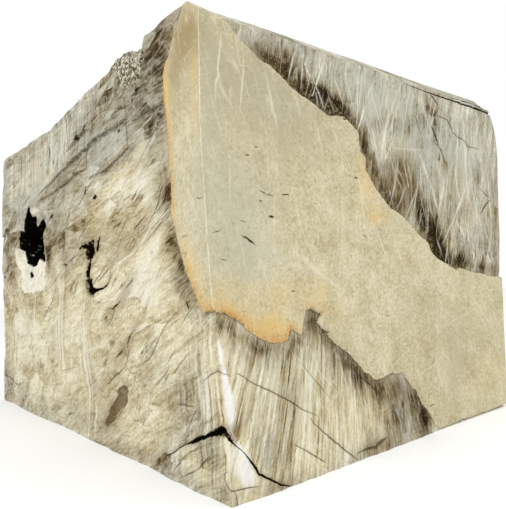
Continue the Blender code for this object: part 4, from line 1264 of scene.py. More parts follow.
def rind_distance(points, face):
    """Signed distance into the rind on whichever face a point belongs to, held to 0.3 m."""
    x, y, z = points.T
    distance = np.full(len(points), OUTSIDE)
    for number, measure, u in ((FRONT, front_rind, x), (LEFT, left_rind, y), (RIGHT_SIDE, side_rind, y)):
        on = face == number
        distance[on] = measure(u[on], z[on])
    return np.clip(distance, OUTSIDE, -OUTSIDE)


def left_only(measure):
    """A signed distance of the left face for every corner, well outside on the other faces."""
    distance = np.full(len(corner_points), OUTSIDE)
    on = corner_face == LEFT
    distance[on] = measure(corner_points[on, 1], corner_points[on, 2])
    return distance


paint("rind", rind_distance(corner_points, corner_face))
paint("sill", left_only(sill_distance))
paint("vug", left_only(vug_distance))
paint("granular", left_only(lambda y, z: inside(y, z, GRANULAR)))
paint("oval", left_only(lambda y, z: inside(y, z, OVAL_PIT)))
depth = np.linalg.norm(points - CORNER - homes, axis=1)
print("deepest cut", round(float(depth.max()), 3))

# %% [markdown]
# ## Shader helpers
# Every node goes in through one small function: it makes the node, applies its settings, fills or
# links its inputs, and hands back an output. Colours are written as the hex values a painter would
# mix, and turned into the linear numbers that the renderer works with.

# %% One node, and one colour
def add(tree, kind, settings=None, inputs=None, out=0):
    """Add a node, set it, fill or link its live inputs by name or place, and return an output."""
    node = tree.nodes.new(kind)
    for name, value in (settings or {}).items():
        setattr(node, name, value)
    live = [socket for socket in node.inputs if socket.enabled]
    for key, value in (inputs or {}).items():
        socket = live[key] if isinstance(key, int) else next(s for s in live if s.name == key)
        if isinstance(value, bpy.types.NodeSocket):
            tree.links.new(value, socket)
        else:
            socket.default_value = value
    results = [socket for socket in node.outputs if socket.enabled]
    return results[out] if results else node


def linear(code):
    """Linear RGBA of an sRGB hex colour: c/12.92 under 0.04045, else ((c + 0.055)/1.055)^2.4."""
    parts = [int(code[i:i + 2], 16) / 255 for i in (1, 3, 5)]
    return tuple(c / 12.92 if c <= 0.04045 else ((c + 0.055) / 1.055) ** 2.4 for c in parts) + (1.0,)


MATH, VECTOR, NOISE = "ShaderNodeMath", "ShaderNodeVectorMath", "ShaderNodeTexNoise"
RANGE, BLEND, READ = "ShaderNodeMapRange", "ShaderNodeMix", "ShaderNodeAttribute"
print("helpers ready, mid grey is", round(linear("#808080")[0], 3))

# %% [markdown]
# ## The rock and its rind, as one material
# Cleft vein quartzite is quartz grown in fibres and sheets, milky where it is clean and grey to brown
# where clay got in between. To the eye it is matte with a slight glassy glint, an IOR of 1.54 like any
# quartz. The rind is a fine-grained silica and clay crust, smoother and duller. Both are in one
# material, because on the real stone one passes into the other along a torn line.
#
# First the coordinates: the unrolled map for things that have a place, the solid's own X, Y, Z for
# grain that has none, and the two fibre coordinates for streaks. A slow swirl bends the grain, and a
# quick wobble frays it and every drawn line, so that nothing is straight.

# %% Coordinates of the material
stone = bpy.data.materials.new("cleft_quartzite_with_silica_rind")
stone.use_nodes = True
tree = stone.node_tree
tree.nodes.clear()

flat = add(tree, "ShaderNodeUVMap", {"uv_map": "unrolled"})
solid = add(tree, "ShaderNodeTexCoord", out=3)
fibre = add(tree, READ, {"attribute_name": "grain"}, out=1)
plumb = add(tree, READ, {"attribute_name": "upright"}, out=1)
rind, sill, vug, granular, oval = (add(tree, READ, {"attribute_name": name}, out=2)
                                   for name in ("rind", "sill", "vug", "granular", "oval"))
fibrous = add(tree, READ, {"attribute_name": "fibrous"}, out=2)
ochre, cool, shade, brown, cream = (add(tree, READ, {"attribute_name": name}, out=2)
                                    for name in ("ochre", "cool", "shade", "brown", "cream"))

SWIRL_PER_M, SWIRL = 2.2, 0.05            # slow bends of the grain: one in 450 mm, 25 mm either way
WOBBLE_PER_M, WOBBLE = 38.0, 0.009        # quick bends of every line: one in 26 mm, 4 mm either way
swirl = add(tree, NOISE, {}, {"Vector": solid, "Scale": SWIRL_PER_M, "Detail": 2.0}, out=1)
swirl = add(tree, VECTOR, {"operation": "SUBTRACT"}, {0: swirl, 1: (0.5, 0.5, 0.5)})
swirl = add(tree, VECTOR, {"operation": "SCALE"}, {0: swirl, "Scale": SWIRL})
wobble = add(tree, NOISE, {}, {"Vector": solid, "Scale": WOBBLE_PER_M, "Detail": 3.0}, out=1)
wobble = add(tree, VECTOR, {"operation": "SUBTRACT"}, {0: wobble, 1: (0.5, 0.5, 0.5)})
fibre = add(tree, VECTOR, {"operation": "ADD"}, {0: fibre, 1: swirl})
rough_fibre = add(tree, VECTOR, {"operation": "SCALE"}, {0: wobble, "Scale": 0.8 * WOBBLE})
rough_fibre = add(tree, VECTOR, {"operation": "ADD"}, {0: fibre, 1: rough_fibre})
drawn = add(tree, VECTOR, {"operation": "MULTIPLY"}, {0: wobble, 1: (WOBBLE, WOBBLE, 0.0)})
drawn = add(tree, VECTOR, {"operation": "ADD"}, {0: flat, 1: drawn})
drawn = add(tree, VECTOR, {"operation": "ADD"}, {0: drawn, 1: (0.0, 0.0, 1.0)})
print("material reads", len([node for node in tree.nodes if node.type == "ATTRIBUTE"]), "attributes")

# %% [markdown]
# Streaks are noise squeezed across the grain and pulled out along it. Broad bands of 90 mm, strands
# of 24 mm and hairs of 9 mm follow the grain. Sheaves of 60 mm, reeds of 16 mm and threads of 8 mm
# follow the upright fibres. A real thread is under a millimetre, too fine to show at this distance, so
# it is drawn as coarse as it needs to be. The other patterns are sums, products and thin lines of
# these, so a few small functions do the arithmetic.

# %% Streaks
def streaks(place, across_mm, stretch, detail, roughness, seed):
    """Noise along a direction: one strand every `across_mm`, `stretch` times as long as wide."""
    per_m = 1000 / across_mm
    squeezed = add(tree, VECTOR, {"operation": "MULTIPLY_ADD"},
                   {0: place, 1: (per_m, per_m / stretch, 1), 2: (seed, seed, seed)})
    return add(tree, NOISE, {}, {"Vector": squeezed, "Scale": 1.0, "Detail": detail,
                                 "Roughness": roughness})


def sharpen(value, low, high, settings=None):
    """0 under low, 1 over high, straight between."""
    return add(tree, RANGE, settings, {"Value": value, "From Min": low, "From Max": high})


def lines(value, width):
    """Thin lines where a noise crosses its middle: 1 - |value - 0.5| / width."""
    away = add(tree, MATH, {"operation": "SUBTRACT"}, {0: value, 1: 0.5})
    away = add(tree, MATH, {"operation": "ABSOLUTE"}, {0: away})
    return sharpen(away, width, 0.0)


def times(*values):
    """Product of several values."""
    total = values[0]
    for value in values[1:]:
        total = add(tree, MATH, {"operation": "MULTIPLY"}, {0: total, 1: value})
    return total


def layered(rows, start=0.0):
    """Start plus the sum of value x weight."""
    total = start
    for value, weight in rows:
        total = add(tree, MATH, {"operation": "MULTIPLY_ADD"}, {0: value, 1: weight, 2: total})
    return total


broad = streaks(fibre, 90, 3.0, 5.0, 0.60, 1.3)
strands = streaks(rough_fibre, 24, 6.5, 4.0, 0.62, 4.1)
reeds = streaks(plumb, 16, 16, 3.0, 0.55, 7.7)
threads = streaks(plumb, 8, 20, 2.0, 0.60, 9.2)
sheaves = streaks(plumb, 60, 8, 3.0, 0.55, 2.9)
hairs = streaks(fibre, 9, 6.5, 3.0, 0.65, 6.1)
print("streaks made, nodes so far", len(tree.nodes))

# %% [markdown]
# Four noises without a direction do the rest: clouds where the rock is a little cleaner or dirtier,
# mottling by its lumps of grain, and crumbs and grit for the broken grains themselves.

# %% Clouds, mottling, crumbs and grit
CLOUDS_PER_M, MOTTLE_PER_M = 7.0, 34.0         # one in 143 mm, and one in 29 mm
CRUMBS_PER_M, GRIT_PER_M = 75.0, 90.0          # one in 13 mm, and one in 11 mm
grit = add(tree, NOISE, {}, {"Vector": solid, "Scale": GRIT_PER_M, "Detail": 2.0, "Roughness": 0.75})
clouds = add(tree, NOISE, {}, {"Vector": solid, "Scale": CLOUDS_PER_M, "Detail": 6.0, "Roughness": 0.62})
mottle = add(tree, NOISE, {}, {"Vector": solid, "Scale": MOTTLE_PER_M, "Detail": 5.0, "Roughness": 0.70})
crumbs = add(tree, NOISE, {}, {"Vector": solid, "Scale": CRUMBS_PER_M, "Detail": 2.0, "Roughness": 0.7})
print("noises made, nodes so far", len(tree.nodes))

# %% [markdown]
# Where the rock split it left long thin plates, each tilted its own way. A Voronoi pattern, pulled out
# along the grain, gives the plates: every cell has a random colour, and the dot product of that colour
# with the way from the cell's middle is a tilted plane. The same number lifts the surface and sets
# its tone, which is painted shade: each plate grows darker towards one end, as if lit from the other.
# Fine splits run where a noise crosses its middle, dark if open and pale if healed.

# %% Plates and splits
PLATE_MM, PLATE_STRETCH = 62, 3.6
plate_place = add(tree, VECTOR, {"operation": "MULTIPLY"},
                  {0: rough_fibre, 1: (1000 / PLATE_MM, 1000 / PLATE_MM / PLATE_STRETCH, 1)})
cells = add(tree, "ShaderNodeTexVoronoi", {}, {"Vector": plate_place, "Scale": 1.0}, out=1)
cell_middle = cells.node.outputs["Position"]
from_middle = add(tree, VECTOR, {"operation": "SUBTRACT"}, {0: plate_place, 1: cell_middle})
cell_lean = add(tree, VECTOR, {"operation": "SUBTRACT"}, {0: cells, 1: (0.5, 0.5, 0.5)})
plates = add(tree, VECTOR, {"operation": "DOT_PRODUCT"}, {0: from_middle, 1: cell_lean}, out=0)
cell_tone = add(tree, VECTOR, {"operation": "DOT_PRODUCT"}, {0: cell_lean, 1: (0.6, 0.5, 0.6)})
open_splits = times(lines(streaks(fibre, 60, 7, 2.0, 0.50, 17.3), 0.014), sharpen(strands, 0.52, 0.40))
healed_splits = times(lines(streaks(fibre, 80, 6, 3.0, 0.5, 11.9), 0.016), sharpen(clouds, 0.52, 0.46))
print("plates cut, nodes so far", len(tree.nodes))

# %% [markdown]
# Two families of fine pale scratches, one in 42 mm and one in 46 mm, cross each other in the upper
# spall. A flatter one joins in, much fainter, on the rind. Each is noise pulled out along its own
# slant, thinned to the lines where it crosses its middle. The slants come from dot products of the
# unrolled map with a direction.

# %% Crossing scratches
def scratches(lean, across_mm, stretch, width, seed):
    """Thin lines on the unrolled map that lean `lean` sideways for each metre up."""
    across = add(tree, VECTOR, {"operation": "DOT_PRODUCT"}, {0: drawn, 1: (1.0, -lean, 0.0)}, out=0)
    upwards = add(tree, VECTOR, {"operation": "DOT_PRODUCT"}, {0: drawn, 1: (lean, 1.0, 0.0)}, out=0)
    place = add(tree, "ShaderNodeCombineXYZ", {}, {
        "X": times(across, 1000 / across_mm), "Y": times(upwards, 1000 / across_mm / stretch), "Z": seed})
    return lines(add(tree, NOISE, {}, {"Vector": place, "Scale": 1.0, "Detail": 1.5}), width)


right_lean = scratches(0.33, 42, 9, 0.020, 3.3)
left_lean = scratches(-0.25, 46, 9, 0.020, 5.9)
flat_lean = scratches(3.2, 60, 8, 0.012, 8.1)
print("scratches made, nodes so far", len(tree.nodes))

# %% [markdown]
# ## Marks with a place
# Hairlines of quartz cross the rind; the two of them that run down the near edge are a painted
# highlight on that edge. A seam of milky quartz shows on the near edge, its bright streak partly a
# painted highlight, and short dark scars mark where the rind was knocked. Each is a tapered stroke on
# the unrolled map: (u, v) of both ends, width in millimetres and strength. The map has a 1 as its third
# number, so one dot product gives the place along a stroke and another the place across it, each
# measured in half lengths and half widths. Where the two squares add up to 1 is the rim of a long thin
# ellipse.

# %% Strokes
HAIRLINES_AND_EDGE_HIGHLIGHT = placed([
    (82, 1560, 48, 1270, 9, 0.8), (166, 1500, 138, 1250, 9, 0.7), (250, 1430, 298, 1230, 9, 0.8),
    (362, 1420, 405, 1310, 8, 0.7), (475, 1310, 520, 1200, 8, 0.6), (556, 1320, 625, 1190, 8, 0.7),
    (615, 1220, 715, 1070, 8, 0.7), (90, 1100, 84, 940, 8, 0.5), (246, 1200, 246, 1030, 8, 0.5),
    (270, 1020, 254, 840, 8, 0.5), (350, 990, 400, 830, 9, 0.5), (340, 800, 500, 690, 26, 0.6),
    (470, 710, 600, 640, 16, 0.5), (586, 1030, 568, 760, 8, 0.6), (612, 980, 600, 700, 36, 0.35),
    (612, 970, 556, 610, 8, 0.5), (712, 1130, 748, 850, 9, 0.7), (795, 920, 895, 730, 9, 0.8),
    (900, 920, 1020, 680, 9, 0.8), (770, 715, 940, 600, 8, 0.6), (800, 395, 1020, 475, 9, 0.5),
    (850, 320, 1070, 415, 9, 0.5), (950, 235, 1220, 305, 9, 0.5), (1080, 860, 1280, 600, 10, 0.5),
    (1300, 740, 1520, 460, 10, 0.5), (1480, 640, 1760, 380, 10, 0.5), (1180, 430, 1620, 540, 9, 0.4),
    (1300, 180, 1720, 300, 9, 0.4), (720, 560, 1050, 700, 8, 0.3), (180, 720, 420, 600, 8, 0.3),
    # the first two strokes on the next line run down the near edge: a painted highlight on it
    (1, 630, 1, 1000, 8, 0.4), (1, 940, 0, 1600, 9, 0.6), (-90, 1190, -130, 900, 6, 0.4),
    (-180, 1250, -150, 960, 6, 0.4), (1560, 660, 1600, 250, 8, 0.3)])
SCARS_DARK = placed([
    (118, 848, 176, 817, 9, 1), (200, 1010, 232, 996, 5, 0.8), (232, 996, 266, 992, 5, 0.8),
    (296, 1005, 334, 1003, 8, 1), (116, 897, 142, 887, 5, 0.7), (20, 853, 52, 866, 5, 0.7),
    (-50, 972, -10, 964, 5, 0.7), (240, 918, 256, 917, 12, 1), (694, 1102, 712, 1100, 11, 0.9),
    (640, 1334, 662, 1337, 12, 0.9), (150, 1131, 164, 1130, 9, 0.8), (192, 1160, 204, 1160, 8, 0.7),
    (314, 652, 328, 652, 8, 0.9), (200, 970, 212, 970, 7, 0.7), (724, 866, 744, 864, 14, 0.4),
    (830, 532, 870, 526, 7, 0.6), (40, 768, 62, 762, 6, 0.6), (-120, 790, -136, 800, 7, 0.5),
    (-150, 850, -110, 858, 6, 0.5), (1100, 116, 1160, 122, 8, 0.6), (1120, 335, 1150, 330, 6, 0.4),
    (1420, 560, 1440, 556, 7, 0.4)])
# the first three strokes are the bright streak down the near edge: milky quartz and painted highlight
QUARTZ_AND_EDGE_HIGHLIGHT = placed([(-2, 505, -4, 430, 24, 1.3), (0, 430, 8, 320, 30, 1.3), (6, 380, 8, 245, 40, 1.3),
                 (30, 185, 52, 140, 20, 1), (58, 145, 82, 60, 44, 0.9), (40, 130, 62, 40, 40, 0.8)])


def strokes(rows):
    """Greatest of the strokes (u, v, u, v, width in mm, strength), each 1 in its middle, 0 at its rim."""
    total = 0.0
    for u0, v0, u1, v1, width_mm, strength in rows:
        middle = np.array([u0 + u1, v0 + v1]) / 2
        way = np.array([u1 - u0, v1 - v0]) / np.hypot(u1 - u0, v1 - v0)
        half = 0.5 * np.hypot(u1 - u0, v1 - v0) + 0.5 * width_mm / 1000
        squares = 0.0
        for axis in (way / half, np.array([-way[1], way[0]]) / (0.5 * width_mm / 1000)):
            place = add(tree, VECTOR, {"operation": "DOT_PRODUCT"},
                        {0: drawn, 1: (axis[0], axis[1], -axis @ middle)})
            squares = layered([(place, place)], squares)
        mark = add(tree, RANGE, {}, {"Value": squares, "From Min": 1.0, "From Max": 0.15,
                                     "To Max": strength})
        total = add(tree, MATH, {"operation": "MAXIMUM"}, {0: mark, 1: total})
    return total


hairlines_and_edge_highlight, scars, quartz = (strokes(rows) for rows in (HAIRLINES_AND_EDGE_HIGHLIGHT, SCARS_DARK, QUARTZ_AND_EDGE_HIGHLIGHT))
print("strokes drawn, nodes so far", len(tree.nodes))

# %% [markdown]
# The lines that the mesh carries are cut here. `crack_side` is in half widths, so a line is simply
# where its size is under 1, and a little mottling added to it frays the line's edges. A wider, softer
# halo of 5 half widths comes with each; round the cracks it is painted shade.

# %% Cracks and veins from the mesh
def traced_line(name, fray, soft):
    """1 inside the named line, 0 outside: |side + fray x noise| under 1, times its strength. The
    second output is the halo, from 0 at 5 half widths to 1 at the line."""
    side, near = (add(tree, READ, {"attribute_name": name + tail}, out=2) for tail in ("_side", "_near"))
    side = layered([(centred_mottle, fray)], side)
    side = add(tree, MATH, {"operation": "ABSOLUTE"}, {0: side})
    return times(sharpen(side, 1.0 + soft, 1.0 - soft), near), times(sharpen(side, 5.0, 1.0), near)


centred_mottle = add(tree, MATH, {"operation": "SUBTRACT"}, {0: mottle, 1: 0.5})
# crack lines, dark with dirt and painted shade, with a halo of painted shade
cracks, crack_shade_halo = traced_line("crack", 3.6, 0.30)
# the pale lines: quartz veins, and painted highlights on rims and cleft lips
veins_and_highlights, vein_and_highlight_halo = traced_line("vein", 3.0, 0.6)
print("lines cut, nodes so far", len(tree.nodes))

# %% [markdown]
# ## Colour of the rock
# The tone of the rock, from 0 to 1, is a weighted sum of the patterns: woven reeds and threads where
# the upright fibres show, grained bands and strands elsewhere, each centred on zero by its last number.
# A colour ramp gives each tone its colour: near black in the lowest, silver grey in the middle, milky
# quartz at the top. A second ramp does the same for the creamier rock. The stains shift the tone,
# choose between the two and lay brown or cool grey over them.

# %% Rock colours
def colours(value, rows):
    """A colour ramp over a value, from (place, hex colour) rows."""
    result = add(tree, "ShaderNodeValToRGB", {}, {"Fac": value})
    stops = result.node.color_ramp.elements
    while len(stops) < len(rows):
        stops.new(0.5)
    for stop, (place, code) in zip(stops, rows):
        stop.position = place
        stop.color = linear(code)
    return result


def over(under, upper, amount):
    """The upper colour, an output or a hex value, laid over the under one by an amount from 0 to 1."""
    upper = linear(upper) if isinstance(upper, str) else upper
    return add(tree, BLEND, {"data_type": "RGBA", "clamp_factor": True},
               {"Factor": amount, "A": under, "B": upper})


woven = layered([(reeds, 0.95), (threads, 1.35), (sheaves, 0.85)], -1.575)
# plates in the tone is painted shade on each tilted plate; cell_tone is the plate's own colour
grained = layered([(broad, 0.50), (strands, 0.75), (hairs, 0.85), (mottle, 0.30), (clouds, 0.30),
                   (grit, 0.80), (cell_tone, 0.20), (plates, 0.42)], -1.725)
grained = times(grained, sharpen(fibrous, 2.6, 0.0))
tone = layered([(woven, fibrous)], grained)
blotch = layered([(strands, 1.2), (mottle, 1.8), (reeds, 0.6), (grit, 1.6)], -1.80)
# the shade stains broken up: dark stain, and painted shade in hollows, under ledges and by the rind
dark = times(shade, add(tree, MATH, {"operation": "MAXIMUM"}, {0: blotch, 1: 0.15}))
tone = layered([(dark, -0.55), (cream, 0.16), (tone, 1.0)], 0.595)
tone = layered([(cool, 0.06)], tone)
grey_rock = colours(tone, [(0.00, "#22190c"), (0.18, "#4f432e"), (0.40, "#80755c"),
                           (0.60, "#9a9584"), (0.80, "#b1afa0"), (1.00, "#d0cec2")])
cream_rock = colours(tone, [(0.00, "#322715"), (0.18, "#6a593a"), (0.40, "#9c8e69"),
                            (0.60, "#b6aa89"), (0.78, "#c8be9d"), (1.00, "#dad5be")])
torn = layered([(clouds, 1.2)], cream)
rock = over(grey_rock, cream_rock, sharpen(torn, 0.50, 1.10))
brown_break = times(brown, sharpen(strands, 0.30, 0.62), 1.1)
rock = over(rock, "#6b5026", times(sharpen(brown_break, 0.05, 1.25), 0.75))
rock = over(rock, "#a3a79e", times(cool, sharpen(tone, 0.15, 0.60), 0.55))
rock = over(rock, "#d9d5c6", times(sharpen(cream, 0.9, 1.5), sharpen(tone, 0.40, 0.75), 0.8))
print("rock coloured, nodes so far", len(tree.nodes))

# %% [markdown]
# On that ground come the marks, from the widest to the finest: the oval pit with its brown floor and
# dark rim, the loose grains at the top of the left face, the crossing scratches, healed splits, pale
# veins and painted highlights with a faint glow beside them, open splits, and the milky quartz of the
# near edge, whose bright streak is partly a painted highlight.

# %% Marks on the rock
in_oval = layered([(strands, 0.10)], oval)
oval_rim = times(sharpen(in_oval, 0.046, 0.052), sharpen(in_oval, 0.075, 0.056))
rock = over(rock, "#6e521f", times(sharpen(in_oval, 0.046, 0.056), 0.62))
rock = over(rock, "#2e2314", times(oval_rim, 0.60))
grains = colours(crumbs, [(0.39, "#1f180d"), (0.49, "#756e58"), (0.60, "#cdc8b4")])
rock = over(rock, grains, times(sharpen(granular, -0.01, 0.02), 0.85))
scratched = add(tree, MATH, {"operation": "MAXIMUM"}, {0: right_lean, 1: left_lean})
scratched = times(scratched, sharpen(clouds, 0.40, 0.58), sharpen(fibrous, 0.2, 0.8))
rock = over(rock, "#d2cfbf", times(scratched, 0.55))
rock = over(rock, "#d2cfbf", times(healed_splits, 0.28))
# pale veins, and painted highlights on rims and cleft lips
rock = over(rock, "#dad7c8", times(veins_and_highlights, 0.80))
rock = over(rock, "#c2bea8", times(vein_and_highlight_halo, 0.15))
rock = over(rock, "#433522", times(open_splits, 0.55))
# milky quartz, with a painted highlight in its streak down the near edge
rock = over(rock, "#dddbd6", quartz)
print("rock marked, nodes so far", len(tree.nodes))

# %% [markdown]
# A dark band follows the broken edge of the rind. It is partly a dark stain on the rock and partly
# painted shade, where the rock lies recessed under the rind's edge. Its width comes from the distance
# to the rind: it fades over 12 mm by itself and over 45 mm more for a shade of 1, and it is torn by the
# strands, the mottling and the grit.

# %% Stain and painted shade beside the rind
reach = layered([(shade, 0.045)], 0.012)
beside = add(tree, MATH, {"operation": "DIVIDE"}, {0: rind, 1: reach})
beside = layered([(beside, 1.0), (mottle, 2.2), (strands, 1.8), (crumbs, 2.4), (grit, 1.6)], -4.0)
edge_stain_and_shade = times(sharpen(beside, -0.6, 0.5), sharpen(rind, -0.14, -0.10))
edge_stain_and_shade_colour = colours(layered([(mottle, 0.3), (crumbs, 0.4), (grit, 0.3)]),
                      [(0.38, "#1e170c"), (0.48, "#4a3e28"), (0.58, "#8f8262")])
# a dark band of stain and painted shade, where the rock lies recessed under the rind's edge
rock = over(rock, edge_stain_and_shade_colour, times(edge_stain_and_shade, 0.80))
print("damp band laid, nodes so far", len(tree.nodes))

# %% [markdown]
# ## Colour of the rind
# Close up the rind is fine-grained and even, like old plaster: tan, a little greener where it is
# thickest, ochre where iron has crept in from its edges and along its rim. Grains under a millimetre
# show only as a slight sparkle of tone. Dark specks sit near the rim, pale hairlines cross it, and
# pores and scars are dark. A pale line down the near edge is a painted highlight, where the edge
# catches the light.

# %% Rind colours
even = layered([(clouds, 0.50), (mottle, 0.42), (grit, 0.78), (broad, 0.32)], -0.510)
skin = colours(even, [(0.30, "#a49876"), (0.50, "#b8af90"), (0.70, "#cbc2a6")])
skin = over(skin, "#93805a", times(brown, 0.60))
skin = over(skin, "#a9a793", times(sharpen(cool, 0.05, 0.9), 0.60))
creep = times(ochre, sharpen(clouds, 0.30, 0.62), 1.25)
skin = over(skin, "#c9aa68", times(sharpen(creep, 0.05, 1.10), 0.80))
rim = times(sharpen(rind, 0.040, 0.008), sharpen(ochre, 0.10, 0.50), sharpen(mottle, 0.36, 0.50))
skin = over(skin, "#c08f4a", times(rim, 0.75))
specks = times(sharpen(rind, 0.060, 0.005), sharpen(crumbs, 0.42, 0.34))
skin = over(skin, "#6e5a38", times(specks, 0.55))
thin_lines = add(tree, MATH, {"operation": "MAXIMUM"}, {0: left_lean, 1: flat_lean})
skin = over(skin, "#d0caaf", times(thin_lines, sharpen(clouds, 0.40, 0.56), 0.50))
# hairlines, two of which are the painted highlight down the near edge
skin = over(skin, "#d3ccb0", times(hairlines_and_edge_highlight, 0.80))
# a painted highlight: a pale line down the near edge, where it catches the light
from_arris = add(tree, MATH, {"operation": "ABSOLUTE"}, {
    0: add(tree, VECTOR, {"operation": "DOT_PRODUCT"}, {0: drawn, 1: (1.0, 0.0, 0.0)}, out=0)})
skin = over(skin, "#d9d2b6", times(sharpen(from_arris, 0.006, 0.002), 0.60))
pores = sharpen(grit, 0.345, 0.300)
skin = over(skin, "#7a7158", times(pores, 0.30))
skin = over(skin, "#322a1e", scars)
print("rind coloured, nodes so far", len(tree.nodes))

# %% [markdown]
# ## Putting them together
# The torn edge is cut in the shader from the signed distance, with fine noise added, so it stays
# crisp between the mesh's points. The mottling swings about a quarter to either side of its middle,
# so it is taken four times to move an edge by the whole of its millimetres. Last come the cavity,
# painted black inside as the shade of the deep hole, with a few pale crystals, its clean sill, and the
# cracks, dark with dirt and painted shade, with their brown borders and a faint painted shade round
# them.

# %% Layers
TORN_MM, VUG_MM = 5.0, 6.0         # how far the edges of the rind and the sill, and of the vug, wander
edge = layered([(centred_mottle, 4 * TORN_MM / 1000)], rind)
crust = sharpen(edge, -0.001, 0.001)
lip = sharpen(layered([(centred_mottle, 4 * TORN_MM / 1000)], sill), -0.002, 0.002)
sill_colour = colours(mottle, [(0.32, "#c2bea8"), (0.50, "#dad6c3"), (0.66, "#e2dfd0")])
rock = over(rock, sill_colour, times(lip, 0.95))
surface = over(rock, skin, crust)
# the vug painted black: painted shade of the deep hole, left open at a few pale crystals
hollow = layered([(centred_mottle, 4 * VUG_MM / 1000)], vug)
hollow = times(sharpen(hollow, -0.002, 0.002), sharpen(mottle, 0.66, 0.62))
# painted shade: a faint dark halo round each crack
surface = over(surface, "#433522", times(crack_shade_halo, 0.16))
# the cracks: dirt and painted shade inside them, brown at their borders
crack_dirt_and_shade_colour = colours(cracks, [(0.00, "#6a5738"), (0.50, "#43351f"), (0.90, "#0f0b06")])
surface = over(surface, crack_dirt_and_shade_colour, times(cracks, 1.5))
surface = over(surface, "#0b0805", hollow)
print("layers laid, nodes so far", len(tree.nodes))

# %% [markdown]
# ## Relief and gloss
# What is too small for the mesh is left to bump: plates and strands a few millimetres deep in the
# rock, and a fine tooth in the rind. Roughness runs the other way round from colour. Milky quartz is
# glassier than the clay between, and the rind is duller than both. The sheen dies away in dark rock,
# and it is taken out with the painted shade of the band beside the rind, the cracks and the vug, as a
# shaded hollow gives back no reflection.

# %% Relief, gloss and the shader itself
ROCK_BUMP_MM, RIND_BUMP_MM = 16.0, 2.2
rock_height = layered([(plates, 0.60), (broad, 0.45), (strands, 0.40), (mottle, 0.22), (reeds, 0.10)])
skin_height = layered([(mottle, 0.45), (grit, 0.25), (clouds, 0.8)])
rock_height = times(rock_height, ROCK_BUMP_MM / 1000)
skin_height = times(skin_height, RIND_BUMP_MM / 1000)
height = add(tree, BLEND, {"data_type": "FLOAT"}, {"Factor": crust, "A": rock_height, "B": skin_height})
bump = add(tree, "ShaderNodeBump", {}, {"Height": height, "Distance": 1.0, "Strength": 1.0})
rock_gloss = add(tree, RANGE, {}, {"Value": tone, "To Min": 0.88, "To Max": 0.55})
gloss = add(tree, BLEND, {"data_type": "FLOAT"}, {"Factor": crust, "A": rock_gloss, "B": 0.72})
# no sheen where the band beside the rind, the cracks and the vug carry painted shade
hidden = add(tree, MATH, {"operation": "MAXIMUM"}, {0: cracks, 1: hollow})
hidden = add(tree, MATH, {"operation": "MAXIMUM"}, {0: hidden, 1: times(edge_stain_and_shade, 0.9)})
sheen = add(tree, RANGE, {}, {"Value": tone, "From Min": 0.15, "From Max": 0.80, "To Min": 0.0,
                              "To Max": 0.34})
sheen = times(sheen, sharpen(hidden, 1.0, 0.0))
shader = add(tree, "ShaderNodeBsdfPrincipled", {}, {
    "Base Color": surface, "Roughness": gloss, "Normal": bump, "IOR": 1.54, "Metallic": 0.0,
    "Specular IOR Level": sheen})
add(tree, "ShaderNodeOutputMaterial", {}, {"Surface": shader})
print("material has", len(tree.nodes), "nodes")

# %% [markdown]
# ## The stone in its place
# The mesh becomes an object at the origin, neither turned nor scaled, since its place is already in
# its points. Smooth shading with sharp edges over 40 degrees keeps the facets soft and the cracks crisp.
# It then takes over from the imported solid, which stays in the physics model for contact and mass.

# %% The stone
SHARP_FROM = np.radians(40)
stone_mesh.shade_smooth()
stone_mesh.set_sharp_from_angle(angle=SHARP_FROM)
stone_mesh.materials.clear()
stone_mesh.materials.append(stone)
block = bpy.data.objects.new("quartzite_stone", stone_mesh)
bpy.context.scene.collection.objects.link(block)
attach(block, "root")
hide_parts("quartzite_block")
print("stone placed", block.name, [round(value, 4) for value in block.dimensions])

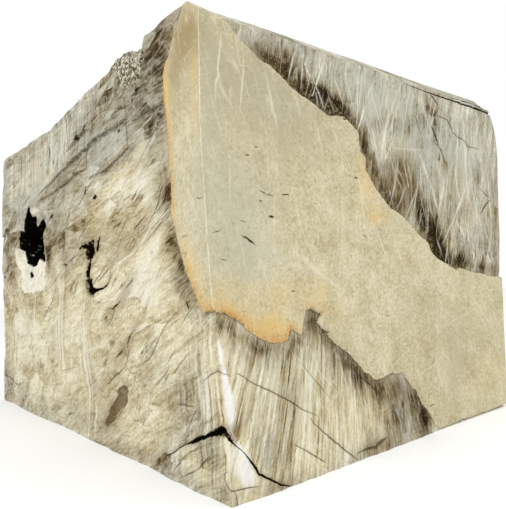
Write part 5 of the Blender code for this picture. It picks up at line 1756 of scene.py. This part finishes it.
# %% [markdown]
# ## A pale studio
# The stone stands in soft, even light: a white room that lights it from all round, a wide lamp high
# on the left that gives the ledges their shadows, and a weaker one on the right. The floor is a plain
# pale disc that fades into the room, so that nothing competes with the stone.

# %% Floor, room and lamps
FLOOR_RADIUS, FLOOR_DROP = 40.0, 0.0005        # half a millimetre under the stone
RIM_POINTS = 96


def floor_disc():
    """A flat disc just under the stone: one fan of triangles round its centre."""
    turns = np.linspace(0, 2 * np.pi, RIM_POINTS, endpoint=False)
    rim = np.stack([FLOOR_RADIUS * np.cos(turns), FLOOR_RADIUS * np.sin(turns), turns * 0], 1)
    disc = np.vstack([[0.0, 0.0, 0.0], rim]) - [0, 0, FLOOR_DROP]
    ring = np.arange(RIM_POINTS) + 1
    mesh = bpy.data.meshes.new("floor")
    mesh.from_pydata(disc, [], np.stack([ring * 0, ring, np.roll(ring, -1)], 1))
    return bpy.data.objects.new("floor", mesh)


floor = floor_disc()
bpy.context.scene.collection.objects.link(floor)
paper = bpy.data.materials.new("matte_white_paper")
paper.use_nodes = True
paper_shader = paper.node_tree.nodes["Principled BSDF"]
paper_shader.inputs["Base Color"].default_value = linear("#f4f5f6")
paper_shader.inputs["Roughness"].default_value = 0.9
floor.data.materials.append(paper)

world = bpy.data.worlds.new("white_room")
world.use_nodes = True
room = world.node_tree.nodes["Background"]
room.inputs["Color"].default_value = (1.0, 1.0, 1.0, 1.0)
room.inputs["Strength"].default_value = 1.0
bpy.context.scene.world = world


def lamp(name, place, target, size, power):
    """A square soft lamp at a place, turned to look at a target."""
    light = bpy.data.lights.new(name, "AREA")
    light.size = size
    light.energy = power
    holder = bpy.data.objects.new(name, light)
    holder.location = place
    holder.rotation_euler = (Vector(target) - Vector(place)).to_track_quat("-Z", "Y").to_euler()
    bpy.context.scene.collection.objects.link(holder)
    return holder


lamp("high_left", (-5.0, -2.6, 5.2), (0.0, 0.0, 0.8), 2.2, 175)
lamp("high_right", (3.4, -6.0, 4.4), (0.0, 0.0, 0.8), 2.2, 105)
bpy.context.scene.view_settings.view_transform = "Standard"
